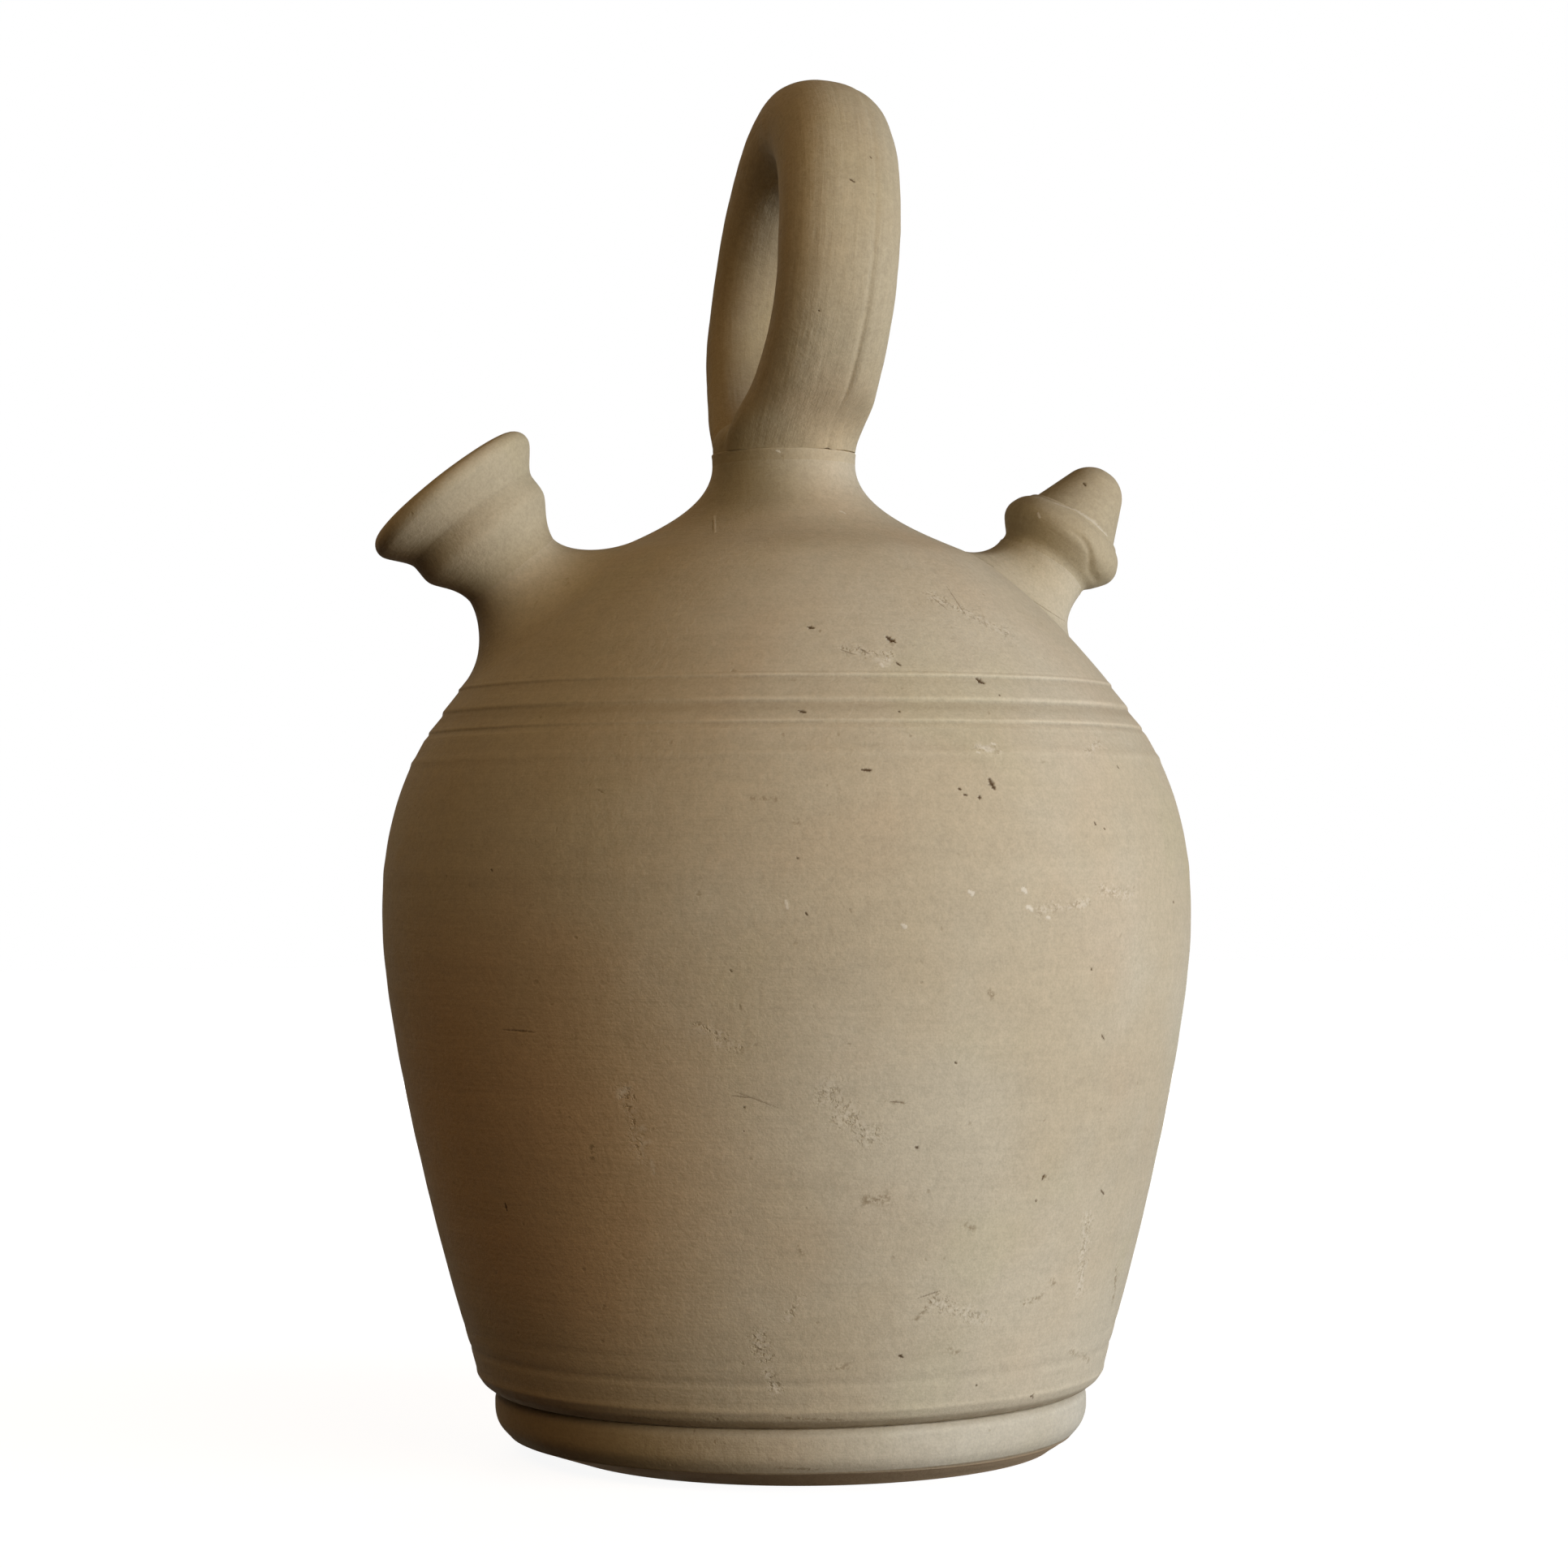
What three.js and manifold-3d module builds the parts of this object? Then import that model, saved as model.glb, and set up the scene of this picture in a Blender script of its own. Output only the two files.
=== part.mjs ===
import * as THREE from 'three';
import { mergeVertices } from 'three/addons/utils/BufferGeometryUtils.js';
import Module from 'manifold-3d';

// Spouted water jug of unglazed clay, in millimetres, +Z up.
// The origin is the middle of the flat sole that the jug stands on.
// The filling mouth leans towards -X, the drinking spout towards +X, and the handle ring lies across them.
// A curve's angle is measured from the outward radius, and its pull is the length of the curve's handle.

// Clay walls, and the joint between luted pieces
const WALL = 7;
const JOINT_GAP = 0.3;

// Foot
const SOLE_RADIUS = 63.5;
const FOOT_RADIUS = 77.5;
const FOOT_HEIGHT = 16;
const FOOT_EDGE_HEIGHT = 9;
const FOOT_EDGE_ANGLE = 20;
const FOOT_EDGE_PULL = 8;
const FOOT_SIDE_PULL = 3;
const FLOOR_THICKNESS = 9;
const FLOOR_FILLET = 4;

// Belly: the lip that stands out over the foot, the widest ring and the top edge under the band
const LIP_OVERHANG = 4.7;
const LIP_HEIGHT = 5.5;
const LIP_EDGE = 1.2;
const FLARE_ANGLE = 73.8;
const FLARE_PULL = 41.5;
const BELLY_RADIUS = 106;
const BELLY_RISE = 125.5;
const BELLY_PULL = 30;
const BELLY_TOP_RADIUS = 94.8;
const BELLY_TOP_RISE = 44.5;
const BELLY_TOP_ANGLE = 120;
const BELLY_TOP_PULL = 16;

// Shoulder band, with the levels of its steps above its lower edge
const BAND_TOP_RADIUS = 85.1;
const BAND_HEIGHT = 14;
const STEP_LEVELS = [1.7, 6.9, 13];
const STEP_RISE = 0.8;

// Dome, turning out of its slope into a closed neck
const DOME_ANGLE = 127.7;
const DOME_PULL = 16;
const TURN_RADIUS = 47;
const TURN_RISE = 35;
const TURN_ANGLE = 157;
const TURN_PULL = 13;
const NECK_RADIUS = 18.9;
const NECK_RISE = 23;
const NECK_PULL = 11;
const NECK_PLUG = 13;

// Handle ring on its pad
const PAD_THICKNESS = 2.4;
const PAD_BULGE = 0.6;
const GRIP_WIDTH = 30.4;
const GRIP_DEPTH = 26;
const LEG_FOOT_WIDTH = 35;
const LEG_FOOT_DEPTH = 15;
const RING_HEIGHT = 99;
const RING_WIDTH = 102;
const RING_SIDE_LEVEL = 44;
const RING_FOOT_SPREAD = 6;
const RING_FOOT_ANGLE = 58;
const RING_FOOT_SINK = 4;
const RING_PULL = 20;
const RING_LEAN_ANGLE = 6;
const ROOT_HEIGHT = 7;
const ROOT_EDGE_PULL = 3;
const ROOT_CROWN_PULL = 11;

// Filling mouth: set in from the band's top edge, with levels along its axis from the dome
const MOUTH_INSET = 19.1;
const MOUTH_RISE_ANGLE = 52.7;
const MOUTH_COIL_RADIUS = 25;
const MOUTH_NECK_RADIUS = 13.5;
const MOUTH_NECK_LEVEL = 11.7;
const MOUTH_CUP_RADIUS = 19;
const MOUTH_CUP_LEVEL = 23;
const MOUTH_RIM_RADIUS = 23.7;
const MOUTH_RIM_BEAD = 3.6;
const BEAD_START_ANGLE = -60;
const BEAD_END_ANGLE = 150;
const BEAD_PULL = 1.8;
const MOUTH_LENGTH = 39.6;
const MOUTH_WALL = 4.7;
const MOUTH_PULL = 5;

// Drinking spout: set in from the band's top edge, with levels along its axis from the dome
const SPOUT_INSET = 21.1;
const SPOUT_RISE_ANGLE = 57.5;
const SPOUT_COIL_RADIUS = 22;
const SPOUT_NECK_RADIUS = 12.2;
const SPOUT_NECK_LEVEL = 12;
const SPOUT_WALL = 5;
const FLANGE_RADIUS = 16.4;
const FLANGE_LEVEL = 20;
const FLANGE_TOP_RADIUS = 13.2;
const FLANGE_TOP_LEVEL = 25.8;
const FLANGE_PULL = 3.5;
const SOCKET_DEPTH = 7;
const SOCKET_WALL = 3.4;
const NOZZLE_BASE_RADIUS = 11.7;
const NOZZLE_LENGTH = 16.9;
const NOZZLE_TIP_RADIUS = 6.6;
const NOZZLE_TIP_HEIGHT = 4.4;
const NOZZLE_TIP_PULL = 3;
const NOZZLE_WALL = 3.4;
const DRINKING_HOLE_RADIUS = 2.2;
const DRINKING_HOLE_DEPTH = 5;

// Luting coils: the flare's foot, and how far their blanks reach into the body before they are trimmed to it
const COIL_FOOT_ANGLE = 160;
const COIL_FOOT_PULL = 9;
const COIL_NECK_PULL = 5;
const COIL_FOOT_SINK = 0.8;
const COIL_SKIRT = 3;
const COIL_SKIRT_DROP = 6;
const COIL_BLANK_DEPTH = 14;

// Facets
const BODY_FACETS = 40;
const SIDE_FACETS = 24;
const CURVE_STEPS = 5;
const SHORT_STEPS = 3;
const RING_STEPS = 8;
const GRIP_SEGMENTS = 24;
const MERGE_DISTANCE = 1e-4;

// Clay colours
const BODY_COLOUR = 0xb3a382;
const FOOT_COLOUR = 0xbab099;
const HANDLE_COLOUR = 0xad9e7a;
const LUTING_COLOUR = 0xb0a180;
const ROUGHNESS = 0.75;

const wasm = await Module();
wasm.setup();

const jug = new THREE.Group();

function addPiece(parent, name, geometry, colour) {
  const material = new THREE.MeshStandardMaterial({ color: colour, roughness: ROUGHNESS, metalness: 0 });
  const mesh = new THREE.Mesh(geometry, material);
  mesh.name = name;
  parent.add(mesh);
}

const at = (radius, level) => new THREE.Vector2(radius, level);

function heading(degrees, length) {
  const angle = THREE.MathUtils.degToRad(degrees);
  return at(length * Math.cos(angle), length * Math.sin(angle));
}

// Points of a curve that leaves `from` along `leave` and comes to `to` along `arrive`.
function curve(from, leave, arrive, to, steps = CURVE_STEPS) {
  const bezier = new THREE.CubicBezierCurve(from, from.clone().add(leave), to.clone().sub(arrive), to);
  return bezier.getPoints(steps);
}

// An outline, read upwards, moved inwards by a wall square to its surface.
function inset(points, wall) {
  return points.map((point, index) => {
    const before = points[Math.max(index - 1, 0)];
    const after = points[Math.min(index + 1, points.length - 1)];
    const along = after.clone().sub(before).normalize();
    return at(point.x - wall * along.y, point.y + wall * along.x);
  });
}

const closed = (points) => [...points, points[0].clone()];

// Solid of revolution about Z, from points that start and end on the axis or close on themselves.
function revolve(points, facets) {
  const geometry = new THREE.LatheGeometry(points, facets);
  geometry.rotateX(Math.PI / 2);
  return geometry;
}

// A solid for cutting and joining: shared corners are merged and empty triangles are dropped.
function toSolid(geometry) {
  const bare = geometry.clone();
  bare.deleteAttribute('normal');
  bare.deleteAttribute('uv');
  const merged = mergeVertices(bare, MERGE_DISTANCE);
  const index = merged.index.array;
  const corners = [];
  for (let i = 0; i < index.length; i += 3) {
    const [a, b, c] = index.slice(i, i + 3);
    if (a !== b && b !== c && c !== a) corners.push(a, b, c);
  }
  const vertProperties = new Float32Array(merged.attributes.position.array);
  const triVerts = new Uint32Array(corners);
  return new wasm.Manifold(new wasm.Mesh({ numProp: 3, vertProperties, triVerts }));
}

function toGeometry(solid) {
  const mesh = solid.getMesh();
  const geometry = new THREE.BufferGeometry();
  geometry.setAttribute('position', new THREE.BufferAttribute(mesh.vertProperties, 3));
  geometry.setIndex(new THREE.BufferAttribute(mesh.triVerts, 1));
  geometry.computeVertexNormals();
  return geometry;
}

// Levels of the stacked body
const lipLevel = FOOT_HEIGHT + LIP_HEIGHT;
const bellyLevel = FOOT_HEIGHT + BELLY_RISE;
const bellyTop = bellyLevel + BELLY_TOP_RISE;
const bandTop = bellyTop + BAND_HEIGHT;
const turnLevel = bandTop + TURN_RISE;
const neckTop = turnLevel + NECK_RISE;
const padBottom = neckTop + JOINT_GAP;
const padTop = padBottom + PAD_THICKNESS;
const ringBottom = padTop + JOINT_GAP;

// Foot: a flat sole, an underside that curves up to the band, and a shallow dish inside.
const footInside = FOOT_RADIUS - WALL;
const footTop = FOOT_HEIGHT - JOINT_GAP;
const footEdge = curve(
  at(SOLE_RADIUS, 0),
  heading(FOOT_EDGE_ANGLE, FOOT_EDGE_PULL),
  heading(90, FOOT_SIDE_PULL),
  at(FOOT_RADIUS, FOOT_EDGE_HEIGHT),
);
const footOutline = [
  at(0, 0),
  ...footEdge,
  at(FOOT_RADIUS, footTop),
  at(footInside, footTop),
  at(footInside, FLOOR_THICKNESS + FLOOR_FILLET),
  at(footInside - FLOOR_FILLET, FLOOR_THICKNESS),
  at(0, FLOOR_THICKNESS),
];
addPiece(jug, 'foot_base', revolve(footOutline, BODY_FACETS), FOOT_COLOUR);

// Belly: the lip over the groove, a long flare, the widest ring, and the turn in to the band.
const lipPoint = at(FOOT_RADIUS + LIP_OVERHANG, lipLevel);
const bellyPoint = at(BELLY_RADIUS, bellyLevel);
const bellyTopPoint = at(BELLY_TOP_RADIUS, bellyTop);
const lip = [at(FOOT_RADIUS, FOOT_HEIGHT), at(lipPoint.x - LIP_EDGE / 2, lipLevel - LIP_EDGE), lipPoint];
const flare = curve(lipPoint, heading(FLARE_ANGLE, FLARE_PULL), heading(90, BELLY_PULL), bellyPoint);
const bellyTurn = curve(
  bellyPoint,
  heading(90, BELLY_TOP_PULL),
  heading(BELLY_TOP_ANGLE, BELLY_TOP_PULL),
  bellyTopPoint,
);
const bellySide = [...flare, ...bellyTurn.slice(1)];
const bellyInside = inset(bellySide, WALL);
bellyInside[0] = at(footInside, FOOT_HEIGHT);
bellyInside[bellyInside.length - 1].y = bellyTop;
const bellyOutline = closed([...lip, ...bellySide.slice(1), ...bellyInside.toReversed()]);
addPiece(jug, 'belly_wall', revolve(bellyOutline, BODY_FACETS), BODY_COLOUR);

// Shoulder band: the seam ring, leaning in from the belly to the dome over small upright steps.
const bandLow = at(BELLY_TOP_RADIUS, bellyTop + JOINT_GAP);
const bandHigh = at(BAND_TOP_RADIUS, bandTop);
const bandSteps = STEP_LEVELS.flatMap((level) => {
  const middle = bandLow.clone().lerp(bandHigh, level / BAND_HEIGHT);
  return [at(middle.x, middle.y - STEP_RISE / 2), at(middle.x, middle.y + STEP_RISE / 2)];
});
const bandSide = [bandLow, ...bandSteps, bandHigh];
const bellyTopWall = BELLY_TOP_RADIUS - bellyInside.at(-1).x;
const bandOutline = closed([
  ...bandSide,
  at(BAND_TOP_RADIUS - bellyTopWall, bandTop),
  at(BELLY_TOP_RADIUS - bellyTopWall, bandLow.y),
]);
addPiece(jug, 'shoulder_band', revolve(bandOutline, BODY_FACETS), BODY_COLOUR);

// Dome: the shoulder slope, the turn into the neck, and a plug of clay that closes the neck.
const domeLow = at(BAND_TOP_RADIUS, bandTop + JOINT_GAP);
const turnPoint = at(TURN_RADIUS, turnLevel);
const neckPoint = at(NECK_RADIUS, neckTop);
const domeSide = [
  ...curve(domeLow, heading(DOME_ANGLE, DOME_PULL), heading(TURN_ANGLE, TURN_PULL), turnPoint),
  ...curve(turnPoint, heading(TURN_ANGLE, TURN_PULL), heading(90, NECK_PULL), neckPoint).slice(1),
];
const plugLevel = neckTop - NECK_PLUG;
const domeInside = inset(domeSide, WALL).filter((point) => point.y < plugLevel);
domeInside[0] = at(BAND_TOP_RADIUS - bellyTopWall, domeLow.y);
const domeOutline = [
  at(0, plugLevel),
  at(domeInside.at(-1).x, plugLevel),
  ...domeInside.toReversed(),
  ...domeSide,
  at(0, neckTop),
];

// Height of the dome's outside at a radius from the jug's axis.
function domeLevelAt(radius) {
  const upper = domeSide.findIndex((point) => point.x <= radius);
  const [low, high] = [domeSide[upper - 1], domeSide[upper]];
  return THREE.MathUtils.mapLinear(radius, low.x, high.x, low.y, high.y);
}

// A side opening's own frame: its origin on the dome, its +Z out along the opening's axis.
function sideFrame(setIn, elevation, side) {
  const reach = BAND_TOP_RADIUS - setIn;
  const frame = new THREE.Group();
  frame.position.set(side * reach, 0, domeLevelAt(reach));
  frame.rotation.y = side * THREE.MathUtils.degToRad(90 - elevation);
  frame.updateMatrixWorld();
  jug.add(frame);
  return frame;
}

const mouthFrame = sideFrame(MOUTH_INSET, MOUTH_RISE_ANGLE, -1);
const spoutFrame = sideFrame(SPOUT_INSET, SPOUT_RISE_ANGLE, 1);
const mouthBore = MOUTH_NECK_RADIUS - MOUTH_WALL;
const spoutBore = SPOUT_NECK_RADIUS - SPOUT_WALL;

function boreSolid(radius, frame) {
  const geometry = new THREE.CylinderGeometry(radius, radius, 2 * COIL_BLANK_DEPTH, SIDE_FACETS);
  geometry.rotateX(Math.PI / 2);
  return toSolid(geometry.applyMatrix4(frame.matrixWorld));
}

const domeSolid = toSolid(revolve(domeOutline, BODY_FACETS))
  .subtract(boreSolid(mouthBore, mouthFrame))
  .subtract(boreSolid(spoutBore, spoutFrame));
addPiece(jug, 'shoulder_dome', toGeometry(domeSolid), BODY_COLOUR);

// Luting coils: a flared skirt round each root, trimmed to the band and dome with a joint between them.
const bodySide = inset([...bandSide, ...domeSide], -JOINT_GAP);
const bodyOutline = [at(0, bodySide[0].y), ...bodySide, at(0, bodySide.at(-1).y)];
const bodyBlank = toSolid(revolve(bodyOutline, BODY_FACETS));

function lutingCoil(bore, radius, neckRadius, neckLevel, frame) {
  const outline = closed([
    at(bore, -COIL_BLANK_DEPTH),
    at(radius + COIL_SKIRT, -COIL_BLANK_DEPTH),
    at(radius + COIL_SKIRT, -COIL_SKIRT_DROP),
    ...curve(
      at(radius, -COIL_FOOT_SINK),
      heading(COIL_FOOT_ANGLE, COIL_FOOT_PULL),
      heading(90, COIL_NECK_PULL),
      at(neckRadius, neckLevel),
    ),
    at(bore, neckLevel),
  ]);
  const blank = revolve(outline, SIDE_FACETS).applyMatrix4(frame.matrixWorld);
  return toGeometry(toSolid(blank).subtract(bodyBlank));
}

const mouthCoil = lutingCoil(mouthBore, MOUTH_COIL_RADIUS, MOUTH_NECK_RADIUS, MOUTH_NECK_LEVEL, mouthFrame);
addPiece(jug, 'mouth_coil', mouthCoil, LUTING_COLOUR);
const spoutCoil = lutingCoil(spoutBore, SPOUT_COIL_RADIUS, SPOUT_NECK_RADIUS, SPOUT_NECK_LEVEL, spoutFrame);
addPiece(jug, 'spout_coil', spoutCoil, LUTING_COLOUR);

// Filling mouth: a waisted neck opening into a cup with a rolled rim.
const mouthLow = at(MOUTH_NECK_RADIUS, MOUTH_NECK_LEVEL + JOINT_GAP);
const cupPoint = at(MOUTH_CUP_RADIUS, MOUTH_CUP_LEVEL);
const cupInside = MOUTH_CUP_RADIUS - MOUTH_WALL;
const rimBead = new THREE.EllipseCurve(
  MOUTH_RIM_RADIUS - MOUTH_RIM_BEAD,
  MOUTH_LENGTH - MOUTH_RIM_BEAD,
  MOUTH_RIM_BEAD,
  MOUTH_RIM_BEAD,
  THREE.MathUtils.degToRad(BEAD_START_ANGLE),
  THREE.MathUtils.degToRad(BEAD_END_ANGLE),
).getPoints(CURVE_STEPS);
const underRim = curve(
  cupPoint,
  heading(90, MOUTH_PULL),
  heading(90 + BEAD_START_ANGLE, BEAD_PULL),
  rimBead[0],
  SHORT_STEPS,
);
const mouthOutline = closed([
  ...curve(mouthLow, heading(90, MOUTH_PULL), heading(90, MOUTH_PULL), cupPoint),
  ...underRim.slice(1, -1),
  ...rimBead,
  ...curve(
    at(cupInside, MOUTH_CUP_LEVEL),
    heading(-90, MOUTH_PULL),
    heading(-90, MOUTH_PULL),
    at(mouthBore, mouthLow.y),
    SHORT_STEPS,
  ),
]);
addPiece(mouthFrame, 'filling_mouth', revolve(mouthOutline, SIDE_FACETS), BODY_COLOUR);

// Spout collar: a neck swelling into a thick flange, with a socket for the nozzle's tenon.
const socketRadius = FLANGE_TOP_RADIUS - SOCKET_WALL;
const socketFloor = FLANGE_TOP_LEVEL - SOCKET_DEPTH;
const collarLow = at(SPOUT_NECK_RADIUS, SPOUT_NECK_LEVEL + JOINT_GAP);
const flangePoint = at(FLANGE_RADIUS, FLANGE_LEVEL);
const flangeTop = at(FLANGE_TOP_RADIUS, FLANGE_TOP_LEVEL);
const collarOutline = closed([
  ...curve(collarLow, heading(90, FLANGE_PULL), heading(90, FLANGE_PULL), flangePoint),
  ...curve(flangePoint, heading(90, FLANGE_PULL), heading(180, FLANGE_PULL), flangeTop).slice(1),
  at(socketRadius, FLANGE_TOP_LEVEL),
  at(socketRadius, socketFloor),
  at(spoutBore, socketFloor),
  at(spoutBore, collarLow.y),
]);
addPiece(spoutFrame, 'spout_collar', revolve(collarOutline, SIDE_FACETS), BODY_COLOUR);

// Nozzle: a tenon in the socket, a shoulder on the flange, and a cone with a rounded, pierced tip.
const tenonRadius = socketRadius - JOINT_GAP;
const tenonLow = socketFloor + JOINT_GAP;
const tenonBore = tenonRadius - NOZZLE_WALL;
const nozzleLow = FLANGE_TOP_LEVEL + JOINT_GAP;
const nozzleTop = nozzleLow + NOZZLE_LENGTH;
const nozzleBase = at(NOZZLE_BASE_RADIUS, nozzleLow);
const nozzleTip = at(NOZZLE_TIP_RADIUS, nozzleTop - NOZZLE_TIP_HEIGHT);
const coneHeading = nozzleTip.clone().sub(nozzleBase).setLength(NOZZLE_TIP_PULL);
const nozzleOutline = closed([
  at(tenonRadius, tenonLow),
  at(tenonRadius, nozzleLow),
  nozzleBase,
  ...curve(nozzleTip, coneHeading, heading(180, NOZZLE_TIP_PULL), at(DRINKING_HOLE_RADIUS, nozzleTop)),
  at(DRINKING_HOLE_RADIUS, nozzleTop - DRINKING_HOLE_DEPTH),
  at(tenonBore, tenonLow),
]);
addPiece(spoutFrame, 'spout_nozzle', revolve(nozzleOutline, SIDE_FACETS), BODY_COLOUR);

// Handle pad: a thin cushion of clay on the neck.
const padOutline = [
  at(0, padBottom),
  at(NECK_RADIUS, padBottom),
  at(NECK_RADIUS + PAD_BULGE, (padBottom + padTop) / 2),
  at(NECK_RADIUS, padTop),
  at(0, padTop),
];
addPiece(jug, 'handle_pad', revolve(padOutline, SIDE_FACETS), LUTING_COLOUR);

// Handle ring: an oval rod that rises from a low mound in two legs, which are thin and wide at their feet.
const gripMiddle = at((RING_WIDTH - GRIP_DEPTH) / 2, RING_SIDE_LEVEL);
const ringTop = at(0, RING_HEIGHT - GRIP_DEPTH / 2);
const legPoints = [
  ...curve(
    at(RING_FOOT_SPREAD, -RING_FOOT_SINK),
    heading(RING_FOOT_ANGLE, RING_PULL),
    heading(90, RING_PULL),
    gripMiddle,
    RING_STEPS,
  ),
  ...curve(gripMiddle, heading(90, RING_PULL), heading(180, RING_PULL), ringTop, RING_STEPS).slice(1),
];
const otherLeg = legPoints.slice(0, -1).toReversed();
const ringPoints = [...legPoints, ...otherLeg.map((point) => at(-point.x, point.y))];

// Corners of the rod's oval section at one point of the ring.
function ringSection(point, index) {
  const before = ringPoints[Math.max(index - 1, 0)];
  const after = ringPoints[Math.min(index + 1, ringPoints.length - 1)];
  const along = after.clone().sub(before).normalize();
  const share = THREE.MathUtils.clamp(point.y / RING_SIDE_LEVEL, 0, 1);
  const halfWidth = THREE.MathUtils.lerp(LEG_FOOT_WIDTH, GRIP_WIDTH, share) / 2;
  const halfDepth = THREE.MathUtils.lerp(LEG_FOOT_DEPTH, GRIP_DEPTH, share) / 2;
  const oval = new THREE.EllipseCurve(0, 0, halfWidth, halfDepth).getPoints(GRIP_SEGMENTS).slice(0, -1);
  return oval.map((p) => new THREE.Vector3(p.x, point.x + p.y * along.y, point.y - p.y * along.x));
}

// A solid through a row of sections with the same number of corners, closed flat at both ends.
function loft(sections) {
  const count = sections[0].length;
  const geometry = new THREE.BufferGeometry().setFromPoints(sections.flat());
  const index = [];
  for (let row = 0; row < sections.length - 1; row += 1) {
    for (let k = 0; k < count; k += 1) {
      const [a, b] = [row * count + k, row * count + ((k + 1) % count)];
      index.push(a, b, b + count, a, b + count, a + count);
    }
  }
  const last = (sections.length - 1) * count;
  for (let k = 1; k < count - 1; k += 1) {
    index.push(0, k + 1, k, last, last + k, last + k + 1);
  }
  geometry.setIndex(index);
  return geometry;
}

const ringBlank = loft(ringPoints.map(ringSection));
ringBlank.rotateY(THREE.MathUtils.degToRad(RING_LEAN_ANGLE)).translate(0, 0, ringBottom);
const rootOutline = [
  at(0, ringBottom - RING_FOOT_SINK),
  at(NECK_RADIUS, ringBottom - RING_FOOT_SINK),
  ...curve(
    at(NECK_RADIUS, ringBottom),
    heading(90, ROOT_EDGE_PULL),
    heading(180, ROOT_CROWN_PULL),
    at(0, ringBottom + ROOT_HEIGHT),
  ),
];
const trimSize = 2 * RING_WIDTH;
const trimBlock = new THREE.BoxGeometry(trimSize, trimSize, trimSize);
trimBlock.translate(0, 0, ringBottom - trimSize / 2);
const ringSolid = toSolid(ringBlank)
  .add(toSolid(revolve(rootOutline, SIDE_FACETS)))
  .subtract(toSolid(trimBlock));
addPiece(jug, 'handle_loop', toGeometry(ringSolid), HANDLE_COLOUR);

export default jug;
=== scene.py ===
"""Spouted water jug of unglazed clay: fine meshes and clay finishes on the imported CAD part."""

import math

import bmesh
import bpy
from mathutils import Matrix, Vector, noise
from mathutils.bvhtree import BVHTree
from mathutils.kdtree import KDTree


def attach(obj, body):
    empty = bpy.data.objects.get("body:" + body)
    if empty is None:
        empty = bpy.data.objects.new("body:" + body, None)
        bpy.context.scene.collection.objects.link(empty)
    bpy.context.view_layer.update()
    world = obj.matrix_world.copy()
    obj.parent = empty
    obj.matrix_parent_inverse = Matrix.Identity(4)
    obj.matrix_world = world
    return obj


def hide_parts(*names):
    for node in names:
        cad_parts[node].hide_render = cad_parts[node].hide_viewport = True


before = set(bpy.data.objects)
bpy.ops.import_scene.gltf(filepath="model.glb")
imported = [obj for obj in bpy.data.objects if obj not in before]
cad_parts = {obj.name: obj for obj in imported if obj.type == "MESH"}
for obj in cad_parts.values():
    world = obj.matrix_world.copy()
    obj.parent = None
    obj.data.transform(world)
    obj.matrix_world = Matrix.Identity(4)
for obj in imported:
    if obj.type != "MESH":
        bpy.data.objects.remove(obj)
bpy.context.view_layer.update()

# Lengths are in millimetres until a mesh is made. Most levels and radii repeat those of the CAD part. The
# ring's widths and root, the coils' spread and the openings' turn and lean follow the photograph instead.
MM = 0.001
FINE = 0.8
FINER = 0.5
FINEST = 0.35
TINY = 1e-6
BODY_SEGMENTS = 320
SIDE_SEGMENTS = 160
SHARP_ANGLE = math.radians(38)

# Body
WALL = 7
SOLE_RADIUS = 63.5
FOOT_RADIUS = 77.5
FOOT_HEIGHT = 16
FLOOR_LEVEL = 9
FLOOR_FILLET = 4
LIP_RADIUS = 82.2
LIP_LEVEL = 21.5
FLARE_ANGLE = 73.8
BELLY_RADIUS = 106
BELLY_LEVEL = 141.5
BELLY_TOP_RADIUS = 94.8
BELLY_TOP_LEVEL = 186
BELLY_TOP_ANGLE = 120
BAND_TOP_RADIUS = 85.1
BAND_TOP_LEVEL = 200
BAND_HEIGHT = BAND_TOP_LEVEL - BELLY_TOP_LEVEL
STEPS = ((1.7, 0.7), (6.9, 1.0), (13, 0.7))
STEP_ROUNDING = 0.8
DOME_ANGLE = 127.7
TURN_RADIUS = 47
TURN_LEVEL = 235
TURN_ANGLE = 157
NECK_RADIUS = 18.9
NECK_LEVEL = 258
NECK_PLUG_LEVEL = 245

# Handle
RING_LEVEL = 261
GRIP_WIDTH = 31.6
GRIP_DEPTH = 26
LEG_FOOT_WIDTH = 36
LEG_FOOT_DEPTH = 15
RING_HEIGHT = 99
RING_WIDTH = 102
RING_SIDE_LEVEL = 44
RING_FOOT_SPREAD = 6
RING_FOOT_ANGLE = 58
RING_FOOT_SINK = 4
RING_PULL = 20
RING_LEAN = math.radians(6.5)
SEAM_RADIUS = 20.45
SEAM_FLARE = 0.2
SEAM_CURL = 0.085
SEAM_SOFTNESS = 1.5
ROOT_HEIGHT = 10
LEG_TRIM = 2.7
HANDLE_VOXEL = 0.5

# Side openings: set out from the body's axis, with levels along their own axes
MOUTH_REACH = 66
MOUTH_RISE = math.radians(52.7)
MOUTH_NECK_RADIUS = 13.5
MOUTH_NECK_LEVEL = 11.7
MOUTH_BORE = 8.8
MOUTH_SPREADS = (30, 27, 28)
SPOUT_REACH = 64.5
SPOUT_RISE = math.radians(57.5)
SPOUT_NECK_RADIUS = 12.9
SPOUT_NECK_LEVEL = 12
SPOUT_BORE = 7.2
SPOUT_SPREADS = (30, 22, 18.6)
FLANGE_TOP_LEVEL = 25.8
NOZZLE_TOP = 43.2
MOUTH_TURN = math.radians(8)
SPOUT_LEAN = math.radians(2.7)
SPOUT_SHIFT = 0.75

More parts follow.
